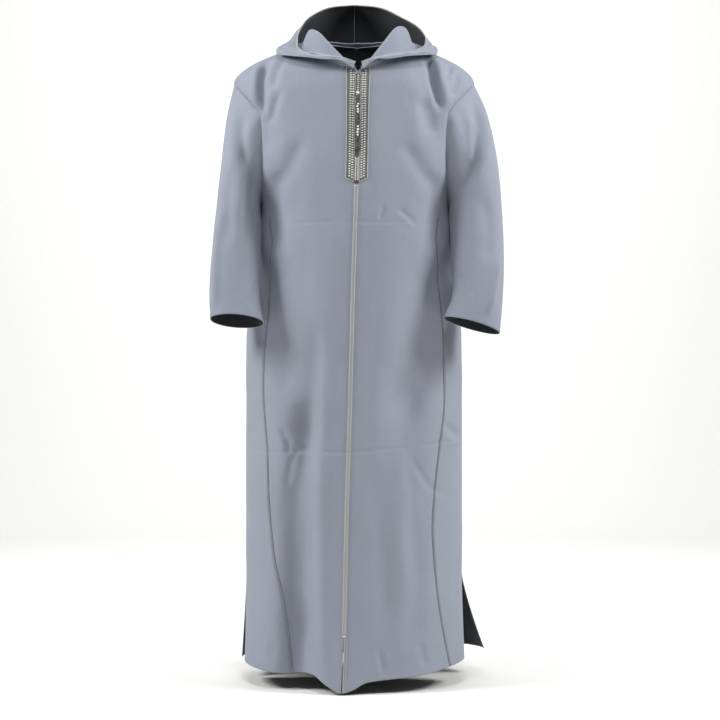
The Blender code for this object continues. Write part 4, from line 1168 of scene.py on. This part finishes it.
def rimLine(points, normals):
    ends = np.linspace(0, 1, len(points))

    def between(values, share):
        return np.stack([np.interp(share, ends, values[:, axis]) for axis in range(3)], -1)

    return lambda share: (between(points, share), unit(between(normals, share)))


def fineStitch(name, line, low, high):
    row = stitchRow(line, low, high, stitching["pitch"], stitching["size"])
    return stamp(name, stitchShape, row, clothThread)


for side in (right, left):
    word = sideWord[side]
    for face, faceName in faceSides:
        for number, inset in enumerate(stitching["armholeInsets"]):
            row = stitchRow(bodyLine(side, face, 1 - inset, stitching["lift"]), *stitching["armholeRows"],
                            stitching["armholePitch"], stitching["armholeSize"])
            name = f"armholeStitch{word}{faceName.capitalize()}{number}"
            trimsOf(side, face).append(stamp(name, stitchShape, row, braidThread))
    trimsOf(side, front).append(fineStitch("hemStitch" + word, hemLine(side, front), 0.06, 0.985))
    trimsOf(side, back).append(fineStitch("hemStitchBack" + word, hemLine(side, back), 0.0, 0.985))
    trims["sleeve" + word].append(fineStitch("cuffStitch" + word, cuffLine(side), 0.0, 1.0))
    points, normals = hoodGrids[side]
    rim = rimLine(points[:, -1], normals[:, -1])
    centres, along, out, _ = alongLine(rim, 0.0, 0.999, stitching["cordPitch"])
    twist = unit(along + np.cross(out, along) * stitching["cordTwist"])
    trims["hood" + word].append(stamp("hoodCord" + word, stitchShape,
                                      (centres, twist, out, np.array(stitching["cordSize"])), braidThread))
print("stitching made")

for name, piece in sheets.items():
    declareCut(piece)

# riding and finishes

allTrims = [trim for group in trims.values() for trim in group]
for piece in [*sheets.values(), *allTrims, *sliderPieces]:
    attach(piece, "robe")
for piece in pullPieces:
    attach(piece, "zip_pull")
slots = {
    "cloth": [*sheets.values()],
    "placket": [bpy.data.objects["placket" + word] for word in sideWord.values()],
    "zip_tape": [bpy.data.objects["zipTape" + word] for word in sideWord.values()],
    "zip_metal": [*sliderPieces, neck, eye], "beads": pullPieces[:3],
}
taken = {piece.name for group in slots.values() for piece in group}
slots["braid"] = [trim for trim in allTrims if trim.name not in taken]


# camera, stage and light

scene = bpy.context.scene
camera = bpy.data.objects.new("camera", bpy.data.cameras.new("camera"))
camera.data.lens, camera.data.sensor_width = 89.25, 36.0
camera.location, camera.rotation_euler = (0.014, -4.2, 0.745 - shoulderHeight), (math.pi / 2, 0, 0)
scene.collection.objects.link(camera)
scene.camera = camera

studio = dict(floorDrop=0.002, near=-7.0, depth=3.2, curve=1.4, steps=12, wallHeight=4.5, width=12.0)


def makeBackdrop():
    floor, curve = -shoulderHeight - studio["floorDrop"], studio["curve"]
    profile = [(studio["near"], floor), (studio["depth"], floor)]
    for number in range(1, studio["steps"] + 1):
        angle = number / studio["steps"] * math.pi / 2
        profile.append((studio["depth"] + curve * math.sin(angle), floor + curve * (1 - math.cos(angle))))
    profile.append((studio["depth"] + curve, floor + studio["wallHeight"]))
    verts = [(x, y, z) for x in (-studio["width"] / 2, studio["width"] / 2) for y, z in profile]
    count = len(profile)
    faces = [(i, i + count, i + count + 1, i + 1) for i in range(count - 1)]
    mesh = bpy.data.meshes.new("backdrop")
    mesh.from_pydata(verts, [], faces)
    mesh.shade_smooth()
    paper = makeThread("paper", (0.86, 0.86, 0.84), 0.9, 0.0, 0.0, 30.0, 0.02, 0.01)
    newObject("backdrop", mesh, [paper])


def areaLight(name, place, target, size, energy):
    made = bpy.data.objects.new(name, bpy.data.lights.new(name, "AREA"))
    made.data.shape, made.data.size, made.data.energy = "SQUARE", size, energy
    made.location = place
    way = np.array(target, float) - np.array(place, float)
    tilt = math.atan2(math.hypot(way[0], way[1]), -way[2])
    made.rotation_euler = (tilt, 0, math.atan2(way[1], way[0]) - math.pi / 2)
    scene.collection.objects.link(made)


makeBackdrop()
areaLight("rightSoftbox", (-2.87, -0.70, 1.35), (0, -0.05, -0.35), 1.2, 118)
areaLight("leftSoftbox", (2.87, -0.70, 1.35), (0, -0.05, -0.35), 1.2, 112)
areaLight("frontFill", (0.2, -2.6, 3.2), (0, 0, -0.3), 1.2, 82)
areaLight("backdropLight", (0, 1.2, 2.4), (0, 4.4, 0.6), 2.6, 98)
world = bpy.data.worlds.new("studio")
world.use_nodes = True
sky = world.node_tree.nodes["Background"].inputs
sky["Color"].default_value, sky["Strength"].default_value = (0.97, 0.98, 1.0, 1), 0.115
scene.world = world
scene.view_settings.view_transform = "Standard"
print("stage made")
